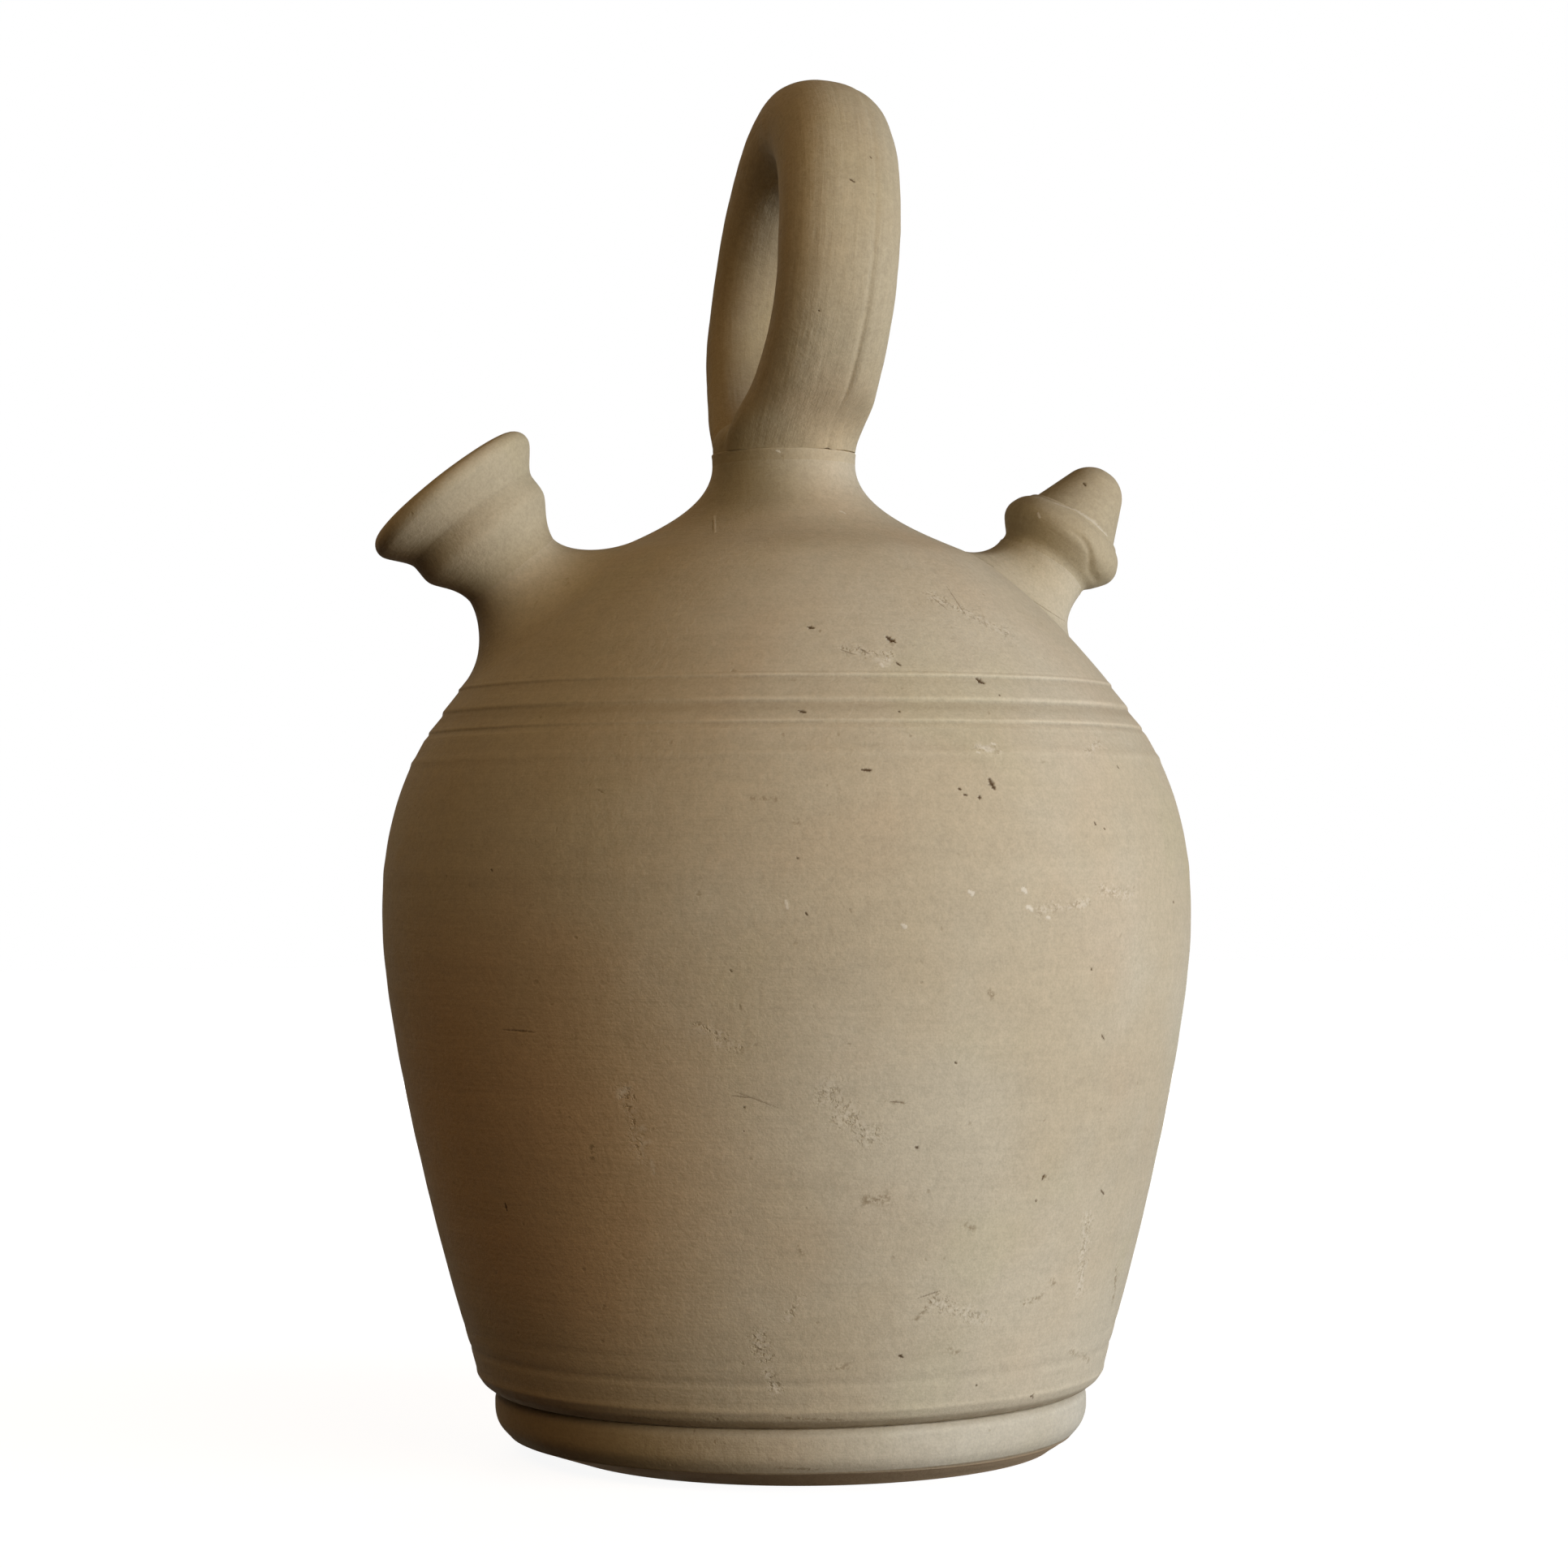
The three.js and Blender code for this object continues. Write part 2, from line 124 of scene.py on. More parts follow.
# Photograph: a square frame, and a level camera turned from the CAD's front
PHOTO_SIZE = 1932
FOCAL_PIXELS = 4500
HORIZON_PIXEL = 1045
AXIS_PIXEL = 969
CAMERA_DISTANCE = 964.3
CAMERA_LEVEL = 157.3
CAMERA_YAW = math.radians(13)
CAMERA_ROLL = math.radians(0.4)
SENSOR = 36
PIXEL = CAMERA_DISTANCE / FOCAL_PIXELS * MM
ahead = Vector((math.sin(CAMERA_YAW), math.cos(CAMERA_YAW), 0))
right = Vector((math.cos(CAMERA_YAW), -math.sin(CAMERA_YAW), 0))
up = Vector((0, 0, 1))


def at(radius, level):
    return Vector((radius, level))


def heading(degrees, length):
    angle = math.radians(degrees)
    return Vector((math.cos(angle), math.sin(angle))) * length


def ramp(value, low, high):
    """A smooth step from 0 at low to 1 at high."""
    share = max(0.0, min(1.0, (value - low) / (high - low)))
    return share * share * (3 - 2 * share)


def humps(place, rows):
    """The sum of smooth humps at a place, each given by its own place, height and width."""
    return sum(height * math.exp(-(((place - off) / width) ** 2)) for off, height, width in rows)


def curve(start, leave, arrive, end, spacing=FINE):
    """Points of a cubic curve that leaves start along leave and comes to end along arrive."""
    second, third = start + leave, end - arrive
    count = max(6, math.ceil((end - start).length / spacing))
    points = []
    for i in range(count + 1):
        t = i / count
        u = 1 - t
        points.append(start * u**3 + second * 3 * u * u * t + third * 3 * u * t * t + end * t**3)
    return points


def rounded(points, radius, steps=5):
    """A line of points with its inner corners rounded off."""
    out = [points[0]]
    for before, corner, after in zip(points, points[1:], points[2:]):
        back, on = before - corner, after - corner
        reach = min(radius, back.length / 2, on.length / 2)
        first, last = corner + back.normalized() * reach, corner + on.normalized() * reach
        for i in range(steps + 1):
            t = i / steps
            out.append(first * (1 - t) ** 2 + corner * 2 * t * (1 - t) + last * t * t)
    return out + [points[-1]]


def spaced(points, spacing=FINE):
    """A line of points with its long stretches divided."""
    out = [points[0]]
    for a, b in zip(points, points[1:]):
        count = max(1, math.ceil((b - a).length / spacing))
        out += [a.lerp(b, i / count) for i in range(1, count + 1)]
    return out


def inset(points, wall):
    """An outline, read upwards, moved inwards by a wall."""
    out = []
    for i, point in enumerate(points):
        along = (points[min(i + 1, len(points) - 1)] - points[max(i - 1, 0)]).normalized()
        out.append(at(point.x - wall * along.y, point.y + wall * along.x))
    return out


# Unevenness of the thrown clay, in millimetres, and how far from the axis it is half as strong
OVAL = 0.30
LOBES = 0.18
FINE_RINGS = 0.10
BROAD_RINGS = 0.16
HALF_STRENGTH = 25


def thrown(point):
    """The hand-made body isn't quite round: each point moves a little towards or away from the axis."""
    radius = math.hypot(point.x, point.y)
    angle = math.atan2(point.y, point.x)
    level = point.z
    swing = OVAL * math.cos(2 * angle + 0.6 + level / 160) + LOBES * math.cos(3 * angle - level / 70)
    rings = FINE_RINGS * noise.noise(Vector((0.4, 1.7, level / 7)))
    rings += BROAD_RINGS * noise.noise(Vector((2.2, 0.3, level / 21)))
    push = (swing + rings) * radius / (radius + HALF_STRENGTH)
    return point + Vector((math.cos(angle), math.sin(angle), 0)) * push


def placed(name, data):
    """A new object in the scene."""
    made = bpy.data.objects.new(name, data)
    bpy.context.scene.collection.objects.link(made)
    return made


def new_piece(name, points, faces, streaks, edges=None):
    """A mesh object from points in millimetres, with the directions of its making and how sharply it turns,
    for wear and painted highlight on its ridges and painted shade in its grooves.
    """
    mesh = bpy.data.meshes.new(name)
    mesh.from_pydata([thrown(p) * MM for p in points], [], faces)
    streak = mesh.attributes.new("streak", "FLOAT_VECTOR", "POINT")
    streak.data.foreach_set("vector", [c * MM for s in streaks for c in s])
    edge = mesh.attributes.new("edge", "FLOAT", "POINT")
    edge.data.foreach_set("value", edges or [0.0] * len(points))
    shell = bmesh.new()
    shell.from_mesh(mesh)
    bmesh.ops.recalc_face_normals(shell, faces=shell.faces)
    shell.to_mesh(mesh)
    shell.free()
    mesh.shade_smooth()
    mesh.set_sharp_from_angle(angle=SHARP_ANGLE)
    return placed(name, mesh)


def quads(rows, columns, base=0, closed=False):
    """Faces between rows of points, each row a ring, and from the last row to the first where they close."""
    faces = []
    for j in range(rows if closed else rows - 1):
        low, high = base + j * columns, base + (j + 1) % rows * columns
        for k in range(columns):
            n = (k + 1) % columns
            faces.append((low + k, low + n, high + n, high + k))
    return faces


def capped(rows, columns, base=0):
    """Faces of a tube with both ends closed."""
    end = base + rows * columns
    first = tuple(range(base, base + columns))[::-1]
    return quads(rows, columns, base) + [first, tuple(range(end - columns, end))]


STREAK_RATIO = 0.05
REPEAT = 1e-4
TURN_GAIN = 2.4
SHORTEST_TURN = 0.5


def edge_values(outline):
    """How sharply an outline turns at each point: above 0 on a ridge, below 0 in a groove."""
    count = len(outline)
    turns = []
    for i in range(count):
        a, b, c = outline[i - 1], outline[i], outline[(i + 1) % count]
        after, before = c - b, b - a
        if after.length < TINY or before.length < TINY:
            turns.append(0.0)
            continue
        turn = math.atan2(before.cross(after), before.dot(after))
        turns.append(TURN_GAIN * turn / max(after.length + before.length, SHORTEST_TURN))
    means = [(turns[i - 1] + 2 * turns[i] + turns[(i + 1) % count]) / 4 for i in range(count)]
    return [max(-1.0, min(1.0, mean)) for mean in means]


def lathe(name, outline, segments, place=Matrix.Identity(4), bend=lambda point: point):
    """A piece turned about its own axis and then bent. Its outline closes, or has both ends on the axis."""
    points, faces, streaks, edges, rows = [], [], [], [], []
    outline = [corner for i, corner in enumerate(outline) if (corner - outline[i - 1]).length > REPEAT]
    run = 0.0
    sharpness = edge_values(outline)
    for i, corner in enumerate(outline):
        run += (corner - outline[i - 1]).length if i else 0.0
        count = 1 if corner.x < TINY else segments
        rows.append(range(len(points), len(points) + count))
        for k in range(count):
            angle = 2 * math.pi * k / segments
            x, y = corner.x * math.cos(angle), corner.x * math.sin(angle)
            points.append(place @ bend(Vector((x, y, corner.y))))
            streaks.append((x * STREAK_RATIO, y * STREAK_RATIO, run))
            edges.append(sharpness[i])
    on_axis = outline[0].x < TINY
    for low, high in zip(rows, rows[1:] if on_axis else rows[1:] + rows[:1]):
        if len(low) == 1 and len(high) == 1:
            continue
        for k in range(segments):
            nxt = (k + 1) % segments
            ring = [low[k % len(low)], low[nxt % len(low)], high[nxt % len(high)], high[k % len(high)]]
            faces.append(tuple(dict.fromkeys(ring)))
    return new_piece(name, points, faces, streaks, edges)


# Foot: a flat sole, a dark underside that slopes up to a crisp edge, and a soft upright band.
foot_inside = FOOT_RADIUS - WALL
GROOVE_RADIUS = 76.6
GROOVE_STEP = 0.2
GROOVE_ROUNDING = 1.8
SOLE_SLIDE = 3.8
SOLE_SLIDE_LEVEL = 4.2
FOOT_SLIDE = 0.3
FOOT_SLIDE_LEVELS = (12, 4.5)
EDGE_DROP = 0.75
EDGE_PULL = 0.7
WEAR_ACROSS = (5, 62)
WEAR_RISE = (0.5, 3.5)
WEAR_FALL = (11, 5)
foot_edge = at(74.4, 4.9)
foot_side = at(FOOT_RADIUS, 12)
groove = at(76, FOOT_HEIGHT)
underside = rounded([at(SOLE_RADIUS - 3, 0), at(SOLE_RADIUS + 0.6, 0), at(74.2, 4.6), foot_edge], 0.3)
foot_band = curve(foot_edge, heading(46, 3.2), heading(89, 4), foot_side, FINER)[1:]
foot_top = [foot_side, at(FOOT_RADIUS, 14.2), at(GROOVE_RADIUS, FOOT_HEIGHT - GROOVE_STEP), groove]
foot_top = rounded(foot_top, GROOVE_ROUNDING)
foot_dish = [
    at(foot_inside, FOOT_HEIGHT),
    at(foot_inside, FLOOR_LEVEL + FLOOR_FILLET),
    at(foot_inside - FLOOR_FILLET, FLOOR_LEVEL),
    at(0, FLOOR_LEVEL),
]
foot_outline = [at(0, 0)] + spaced(underside) + foot_band + foot_top[1:] + foot_dish
foot = lathe("foot_base", foot_outline, BODY_SEGMENTS)
for vert in foot.data.vertices:
    level = vert.co.z / MM
    below = 1 - min(vert.co.z / (SOLE_SLIDE_LEVEL * MM), 1)
    slide = SOLE_SLIDE * below + FOOT_SLIDE * ramp(level, *FOOT_SLIDE_LEVELS)
    worn = ramp(vert.co.dot(right) / MM, *WEAR_ACROSS) * ramp(level, *WEAR_RISE) * ramp(level, *WEAR_FALL)
    vert.co += (right * (slide - EDGE_PULL * worn) - Vector((0, 0, EDGE_DROP * worn))) * MM

# Belly: the lip over the groove, the long flare, the widest ring, and the turn in to the band.
lip_point = at(LIP_RADIUS, LIP_LEVEL)
belly_point = at(BELLY_RADIUS, BELLY_LEVEL)
belly_top = at(BELLY_TOP_RADIUS, BELLY_TOP_LEVEL)
lip = [groove, at(GROOVE_RADIUS, FOOT_HEIGHT + GROOVE_STEP), at(78.2, 16.6), at(80.9, 18.6)]
lip += [lip_point - heading(FLARE_ANGLE, 1.3), lip_point]
lip = spaced(rounded(lip, GROOVE_ROUNDING, 6), FINEST)
flare = curve(lip_point, heading(FLARE_ANGLE, 41.5), heading(90, 30), belly_point)
belly_turn = curve(belly_point, heading(90, 16), heading(BELLY_TOP_ANGLE, 16), belly_top)
belly_side = flare + belly_turn[1:]
# Faint rings that the potter's fingers and rib left in the wall, each as level, height and width
BELLY_RINGS = (
    (20.9, 0.22, 0.9),
    (180.2, 0.30, 0.9),
    (27.9, -0.22, 0.8),
    (33.5, -0.12, 1.4),
    (152, 0.10, 2.5),
)
belly_inside = inset(belly_side[::6] + [belly_side[-1]], WALL)
belly_inside[0] = at(foot_inside, FOOT_HEIGHT)
belly_inside[-1].y = BELLY_TOP_LEVEL
belly_outline = [at(p.x + humps(p.y, BELLY_RINGS), p.y) for p in lip[:-1] + belly_side] + belly_inside[::-1]
belly = lathe("belly_wall", belly_outline, BODY_SEGMENTS)

# Shoulder band: small upright steps between flatter treads.
band_top = at(BAND_TOP_RADIUS, BAND_TOP_LEVEL)
band_corners = [belly_top]
for level, rise in STEPS:
    middle = belly_top.lerp(band_top, level / BAND_HEIGHT)
    band_corners += [at(middle.x, middle.y - rise / 2), at(middle.x, middle.y + rise / 2)]
band_corners.append(band_top)
band_side = spaced(rounded(band_corners, STEP_ROUNDING, 4), FINER)
band_wall = BELLY_TOP_RADIUS - belly_inside[-1].x
band_outline = band_side + [at(BAND_TOP_RADIUS - band_wall, BAND_TOP_LEVEL), belly_inside[-1].copy()]
band = lathe("shoulder_band", band_outline, BODY_SEGMENTS)

# Dome: the shoulder slope, the turn into the neck, and the plug that closes the neck.
turn_point = at(TURN_RADIUS, TURN_LEVEL)
neck_point = at(NECK_RADIUS, NECK_LEVEL)
dome_side = curve(band_top, heading(DOME_ANGLE, 16), heading(TURN_ANGLE, 13), turn_point, 0.6)
dome_side += curve(turn_point, heading(TURN_ANGLE, 13), heading(90, 11), neck_point, FINER)[1:]
dome_inside = [p for p in inset(dome_side[::5], WALL) if p.y < NECK_PLUG_LEVEL]
dome_inside[0] = at(BAND_TOP_RADIUS - band_wall, BAND_TOP_LEVEL)
dome_plug = [at(0, NECK_PLUG_LEVEL), at(dome_inside[-1].x, NECK_PLUG_LEVEL)]
dome_outline = dome_plug + dome_inside[::-1] + dome_side + [at(0, NECK_LEVEL)]
dome = lathe("shoulder_dome", dome_outline, BODY_SEGMENTS)

# The body's slope, for what is luted on it.
slope = [belly_top, band_top] + dome_side[1:]
SLOPE_REACH = 0.6
BELOW_SLOPE = 1.5


def slope_level(radius):
    """The level of the slope's surface at a radius."""
    for low, high in zip(slope, slope[1:]):
        if high.x <= radius <= low.x:
            return low.y + (high.y - low.y) * (low.x - radius) / max(low.x - high.x, 1e-9)
    if radius > slope[0].x:
        return slope[0].y - (radius - slope[0].x) * BELOW_SLOPE
    return slope[-1].y


def slope_normal(point):
    """The way out of the slope's surface under a point."""
    radius = math.hypot(point.x, point.y)
    fall = (slope_level(radius - SLOPE_REACH) - slope_level(radius + SLOPE_REACH)) / (2 * SLOPE_REACH)
    return Vector((point.x / radius * fall, point.y / radius * fall, 1)).normalized()


def side_place(reach, rise, side):
    """An opening's own frame, its +Z out along its axis."""
    turn = Matrix.Rotation(side * (math.pi / 2 - rise), 4, "Y")
    return Matrix.Translation((side * reach, 0, slope_level(reach))) @ turn


mouth_place = side_place(MOUTH_REACH, MOUTH_RISE, -1)
spout_place = side_place(SPOUT_REACH, SPOUT_RISE, 1)


COIL_ROWS = 40
COIL_BITE = 0.03
COIL_TUCK = 1.0
COIL_SINK = 1.2
HOLE_SINK = 2
SEARCH = (-60.0, 40.0)
HALVINGS = 40


def luting_coil(name, place, bore, neck_radius, neck_level, spreads, pulls, front_bite):
    """The flared root of an opening, wiped into the body, with the wipe's edge standing at its front."""
    axis = (place.to_3x3() @ Vector((0, 0, 1))).normalized()
    origin = place.translation
    neck_pull, foot_pull = pulls
    uphill, downhill, front = spreads
    columns = []
    for k in range(SIDE_SEGMENTS):
        angle = 2 * math.pi * k / SIDE_SEGMENTS
        outward = (place.to_3x3() @ Vector((math.cos(angle), math.sin(angle), 0))).normalized()

        def landing(radius):
            low, high = SEARCH
            for _ in range(HALVINGS):
                middle = (low + high) / 2
                p = origin + outward * radius + axis * middle
                if p.z > slope_level(math.hypot(p.x, p.y)):
                    high = middle
                else:
                    low = middle
            return origin + outward * radius + axis * high

        toward = -math.copysign(1, origin.x) * math.cos(angle)
        at_front = max(0.0, -math.sin(angle)) ** 2
        spread = downhill + (uphill - downhill) * (1 + toward) / 2
        foot_point = landing(spread + (front - spread) * at_front)
        normal = slope_normal(foot_point)
        along = (outward - normal * outward.dot(normal)).normalized()
        along = (along - normal * (COIL_BITE + front_bite * at_front)).normalized()
        start = origin + axis * neck_level + outward * neck_radius
        leave, arrive = -axis * neck_pull, along * foot_pull * (1 - front_bite * at_front)
        column = curve(start, leave, arrive, foot_point, FINER)
        column = [column[round(i * (len(column) - 1) / COIL_ROWS)] for i in range(COIL_ROWS + 1)]
        tucked = foot_point + along * COIL_TUCK - normal * COIL_SINK
        column += [tucked, landing(bore) - axis * HOLE_SINK, origin + axis * neck_level + outward * bore]
        columns.append(column)
    rows = len(columns[0])
    points = [columns[k][j] for j in range(rows) for k in range(SIDE_SEGMENTS)]
    back = place.inverted()
    streaks = []
    for p in points:
        local = back @ p
        run = math.hypot(local.x, local.y) - local.z
        streaks.append((local.x * STREAK_RATIO, local.y * STREAK_RATIO, run))
    return new_piece(name, points, quads(rows, SIDE_SEGMENTS, closed=True), streaks)


mouth_coil = luting_coil(
    "mouth_coil", mouth_place, MOUTH_BORE, MOUTH_NECK_RADIUS, MOUTH_NECK_LEVEL, MOUTH_SPREADS, (5, 9), 0
)
spout_coil = luting_coil(
    "spout_coil", spout_place, SPOUT_BORE, SPOUT_NECK_RADIUS, SPOUT_NECK_LEVEL, SPOUT_SPREADS, (4, 12), 0.45
)

# Filling mouth: a waisted neck, an upright cup, and a flared, rolled rim.
mouth_low = at(MOUTH_NECK_RADIUS, MOUTH_NECK_LEVEL - 1.5)
cup_low, cup_high = at(18.6, 21), at(19.2, 27)
rim_middle, rim_bead = at(21, 35.7), 3.4
rim_start, rim_end = rim_middle + heading(-36, rim_bead), rim_middle + heading(180, rim_bead)
cup_inside = at(14.3, 23)
mouth_outline = curve(mouth_low, heading(90, 5), heading(64, 3), cup_low, FINEST)
mouth_outline += curve(cup_low, heading(64, 2), heading(84, 2), cup_high, FINEST)[1:]
mouth_outline += curve(cup_high, heading(84, 2), heading(56, 2.4), rim_start, FINEST)[1:]
mouth_outline += [rim_middle + heading(a, rim_bead) for a in range(-30, 171, 10)]
mouth_outline += curve(rim_end, heading(-80, 3), heading(-95, 4), cup_inside, FINER)
mouth_outline += curve(cup_inside, heading(-95, 4), heading(-90, 4), at(MOUTH_BORE, mouth_low.y), FINER)[1:]
MOUTH_TURN_END = 24


def mouth_bend(point):
    """The cup turns a little away from the front as it leaves its neck."""
    hinge = Vector((0, 0, MOUTH_NECK_LEVEL))
    turn = Matrix.Rotation(-MOUTH_TURN * ramp(point.z, MOUTH_NECK_LEVEL, MOUTH_TURN_END), 3, "X")
    return hinge + turn @ (point - hinge)


mouth = lathe("filling_mouth", mouth_outline, SIDE_SEGMENTS, mouth_place, mouth_bend)

# Spout collar: a neck swelling into a thick rounded flange, with a socket for the nozzle. It leans outwards.
collar_low = at(SPOUT_NECK_RADIUS, SPOUT_NECK_LEVEL - 1.5)
under_flange = at(13.8, 14.6)
SOCKET_RADIUS = 9.8
SOCKET_LEVEL = 18.8
flange = [under_flange, at(15.75, 16.9), at(17, 18.7), at(17.2, 20.9), at(15.9, 23.9)]
flange.append(at(14.1, FLANGE_TOP_LEVEL - 0.35))
bead = rounded([flange[-1], at(13.6, FLANGE_TOP_LEVEL + 0.45), at(12.82, FLANGE_TOP_LEVEL + 0.1)], 0.35)[1:]
socket = bead + [at(12.3, FLANGE_TOP_LEVEL - 0.6), at(SOCKET_RADIUS, FLANGE_TOP_LEVEL - 0.6)]
socket += [at(SOCKET_RADIUS, SOCKET_LEVEL), at(SPOUT_BORE, SOCKET_LEVEL), at(SPOUT_BORE, collar_low.y)]
collar_outline = curve(collar_low, heading(90, 1.8), heading(50, 2), under_flange, FINEST)
collar_outline += spaced(rounded(flange, 1.9, 6), FINEST)[1:] + socket


def spout_bend(point):
    """The spout is set over a little outwards from its neck, and leans that way."""
    hinge = Vector((0, 0, SPOUT_NECK_LEVEL - 2))
    bent = ramp(point.z, hinge.z + 1, hinge.z + 5)
    turn = Matrix.Rotation(SPOUT_LEAN * bent, 3, "Y")
    return hinge + turn @ (point - hinge) + Vector((SPOUT_SHIFT * bent, 0, 0))


FOLD_FRONT = 20.2
FOLD_SIDE = 15.6
FOLD_DEPTH = 0.36
FOLD_INSIDE = 12
# The fold and the ridge above it, each as its place, share of the depth and width
FOLD_LINES = ((0, 1, 0.85), (1.7, -0.5, 1.2))
# Angles round the collar between which the fold comes down, starts and ends
FOLD_TURN = (-90, -52)
FOLD_START = (-110, -86)
FOLD_END = (-15, -45)


def collar_bend(point):
    """The collar bends with the spout, with a fold pressed in under its flange from the front to the side."""
    radius, angle = math.hypot(point.x, point.y), math.degrees(math.atan2(point.y, point.x))
    if radius > FOLD_INSIDE:
        above = point.z - FOLD_FRONT - (FOLD_SIDE - FOLD_FRONT) * ramp(angle, *FOLD_TURN)
        press = humps(above, FOLD_LINES)
        press *= FOLD_DEPTH * ramp(angle, *FOLD_START) * ramp(angle, *FOLD_END) / radius
        point = Vector((point.x * (1 - press), point.y * (1 - press), point.z))
    return spout_bend(point)


collar = lathe("spout_collar", collar_outline, SIDE_SEGMENTS, spout_place, collar_bend)

# Nozzle: a cone that leans with the collar, with a round, pierced tip.
NOZZLE_TAPER = 22
NOZZLE_BOTTOM = 19.1
TIP_BALL = 8.7
HOLE = 2.2
ball_middle = at(0, NOZZLE_TOP - TIP_BALL)
nozzle_low = at(13, FLANGE_TOP_LEVEL - 0.4)
nozzle_cone = [nozzle_low - at(0.5, 0), nozzle_low, ball_middle + heading(NOZZLE_TAPER, TIP_BALL)]
nozzle_outline = [at(9.6, NOZZLE_BOTTOM), at(9.6, nozzle_low.y)]
nozzle_outline += spaced(rounded(nozzle_cone, 0.5), 0.4)
nozzle_outline += [ball_middle + heading(a, TIP_BALL) for a in range(NOZZLE_TAPER + 3, 69, 3)]
nozzle_outline += rounded([nozzle_outline[-1], at(HOLE, NOZZLE_TOP - 0.4), at(HOLE, NOZZLE_TOP - 5)], 0.5)[1:]
nozzle_outline += [at(6.1, NOZZLE_BOTTOM)]
nozzle = lathe("spout_nozzle", nozzle_outline, SIDE_SEGMENTS, spout_place, spout_bend)

# Handle pad: the neck's last ring of clay, under the handle's seam.
pad_side = [at(NECK_RADIUS, NECK_LEVEL), at(NECK_RADIUS + 0.05, 259.8)]
pad_side += [at(NECK_RADIUS + 0.2, 260.8), at(NECK_RADIUS + 0.1, RING_LEVEL)]
pad_outline = [at(0, NECK_LEVEL)] + spaced(rounded(pad_side, 0.8), 0.3) + [at(0, RING_LEVEL)]
pad = lathe("handle_pad", pad_outline, SIDE_SEGMENTS)

# Handle: an oval rod in a ring, joined at its foot, with the crease and drag lines of its pulling.
grip_middle = at((RING_WIDTH - GRIP_DEPTH) / 2, RING_SIDE_LEVEL)
ring_top = at(0, RING_HEIGHT - GRIP_DEPTH / 2)
leg_foot = at(RING_FOOT_SPREAD, -RING_FOOT_SINK)
leg = curve(leg_foot, heading(RING_FOOT_ANGLE, RING_PULL), heading(90, RING_PULL), grip_middle)
leg += curve(grip_middle, heading(90, RING_PULL), heading(180, RING_PULL), ring_top)[1:]
ring_path = leg + [at(-p.x, p.y) for p in leg[-2::-1]]
lean = Matrix.Translation((0, 0, RING_LEVEL)) @ Matrix.Rotation(RING_LEAN, 4, "Y")
SECTION_POINTS = 72
SECTION_SQUARENESS = 2.25
# Levels above the seam, and distances from the middle, between which the trim comes in and fades
TRIM_RISE = (0, 16)
TRIM_FALL = (20, 55)
TRIM_FADE = 0.75
TRIM_SIDE = (0, 20)


def section(level):
    """Half width and half depth of the rod at a level above the seam: the feet are thin and wide."""
    share = max(0.0, min(1.0, level / RING_SIDE_LEVEL))
    width = LEG_FOOT_WIDTH + (GRIP_WIDTH - LEG_FOOT_WIDTH) * share
    depth = LEG_FOOT_DEPTH + (GRIP_DEPTH - LEG_FOOT_DEPTH) * share
    return width / 2, depth / 2


def trimmed(across, half_width, middle):
    """The front leg was pulled narrower than the back one, on its mouth side."""
    if across > 0 or middle.x > 0:
        return across
    trim = LEG_TRIM * ramp(middle.y, *TRIM_RISE) * (1 - TRIM_FADE * ramp(middle.y, *TRIM_FALL))
    trim *= ramp(-middle.x, *TRIM_SIDE)
    return across * (1 - trim / half_width)


def ring_frame(i):
    """A path point of the ring, with the way along it and the way out of the ring there."""
    before, after = ring_path[max(i - 1, 0)], ring_path[min(i + 1, len(ring_path) - 1)]
    along = (after - before).normalized()
    return ring_path[i], along, Vector((along.y, -along.x))


handle_points = []
for i in range(len(ring_path)):
    middle, along, out = ring_frame(i)
    half_width, half_depth = section(middle.y)
    for k in range(SECTION_POINTS):
        angle = 2 * math.pi * k / SECTION_POINTS
        c, s = math.cos(angle), math.sin(angle)
        across = half_width * math.copysign(abs(c) ** (2 / SECTION_SQUARENESS), c)
        deep = half_depth * math.copysign(abs(s) ** (2 / SECTION_SQUARENESS), s)
        p = middle + out * deep
        handle_points.append(lean @ Vector((trimmed(across, half_width, middle), p.x, p.y)))
handle_faces = capped(len(ring_path), SECTION_POINTS)

# The root, a low mound between the legs' feet and the pad.
root_edge = at(NECK_RADIUS + 0.45, RING_LEVEL)
root_side = [at(root_edge.x, RING_LEVEL - 4)]
root_side += curve(root_edge, heading(90, 8), heading(180, 12), at(0.5, RING_LEVEL + ROOT_HEIGHT))
handle_faces += capped(len(root_side), SECTION_POINTS, len(handle_points))
for p in root_side:
    for k in range(SECTION_POINTS):
        angle = 2 * math.pi * k / SECTION_POINTS
        handle_points.append(Vector((p.x * math.cos(angle), p.x * math.sin(angle), p.y)))


def joined(points, faces, voxel, smoothing):
    """One skin round overlapping lumps of clay, in millimetres."""
    mesh = bpy.data.meshes.new("joined")
    mesh.from_pydata([p * MM for p in points], [], faces)
    blank = placed("joined", mesh)
    remesh = blank.modifiers.new("skin", "REMESH")
    remesh.mode = "VOXEL"
    remesh.voxel_size = voxel * MM
    evaluated = blank.evaluated_get(bpy.context.evaluated_depsgraph_get())
    skin = bmesh.new()
    skin.from_mesh(evaluated.to_mesh())
    bpy.data.objects.remove(blank)
    for _ in range(smoothing):
        bmesh.ops.smooth_vert(
            skin, verts=skin.verts, factor=0.5, use_axis_x=True, use_axis_y=True, use_axis_z=True
        )
    return skin


handle_skin = joined(handle_points, handle_faces, HANDLE_VOXEL, 8)
bmesh.ops.bisect_plane(
    handle_skin,
    geom=handle_skin.verts[:] + handle_skin.edges[:] + handle_skin.faces[:],
    plane_co=(0, 0, RING_LEVEL * MM),
    plane_no=(0, 0, 1),
    clear_inner=True,
)
bmesh.ops.holes_fill(handle_skin, edges=[e for e in handle_skin.edges if e.is_boundary])

CREASE_ACROSS = 7.3
CREASE_WANDER = 0.8
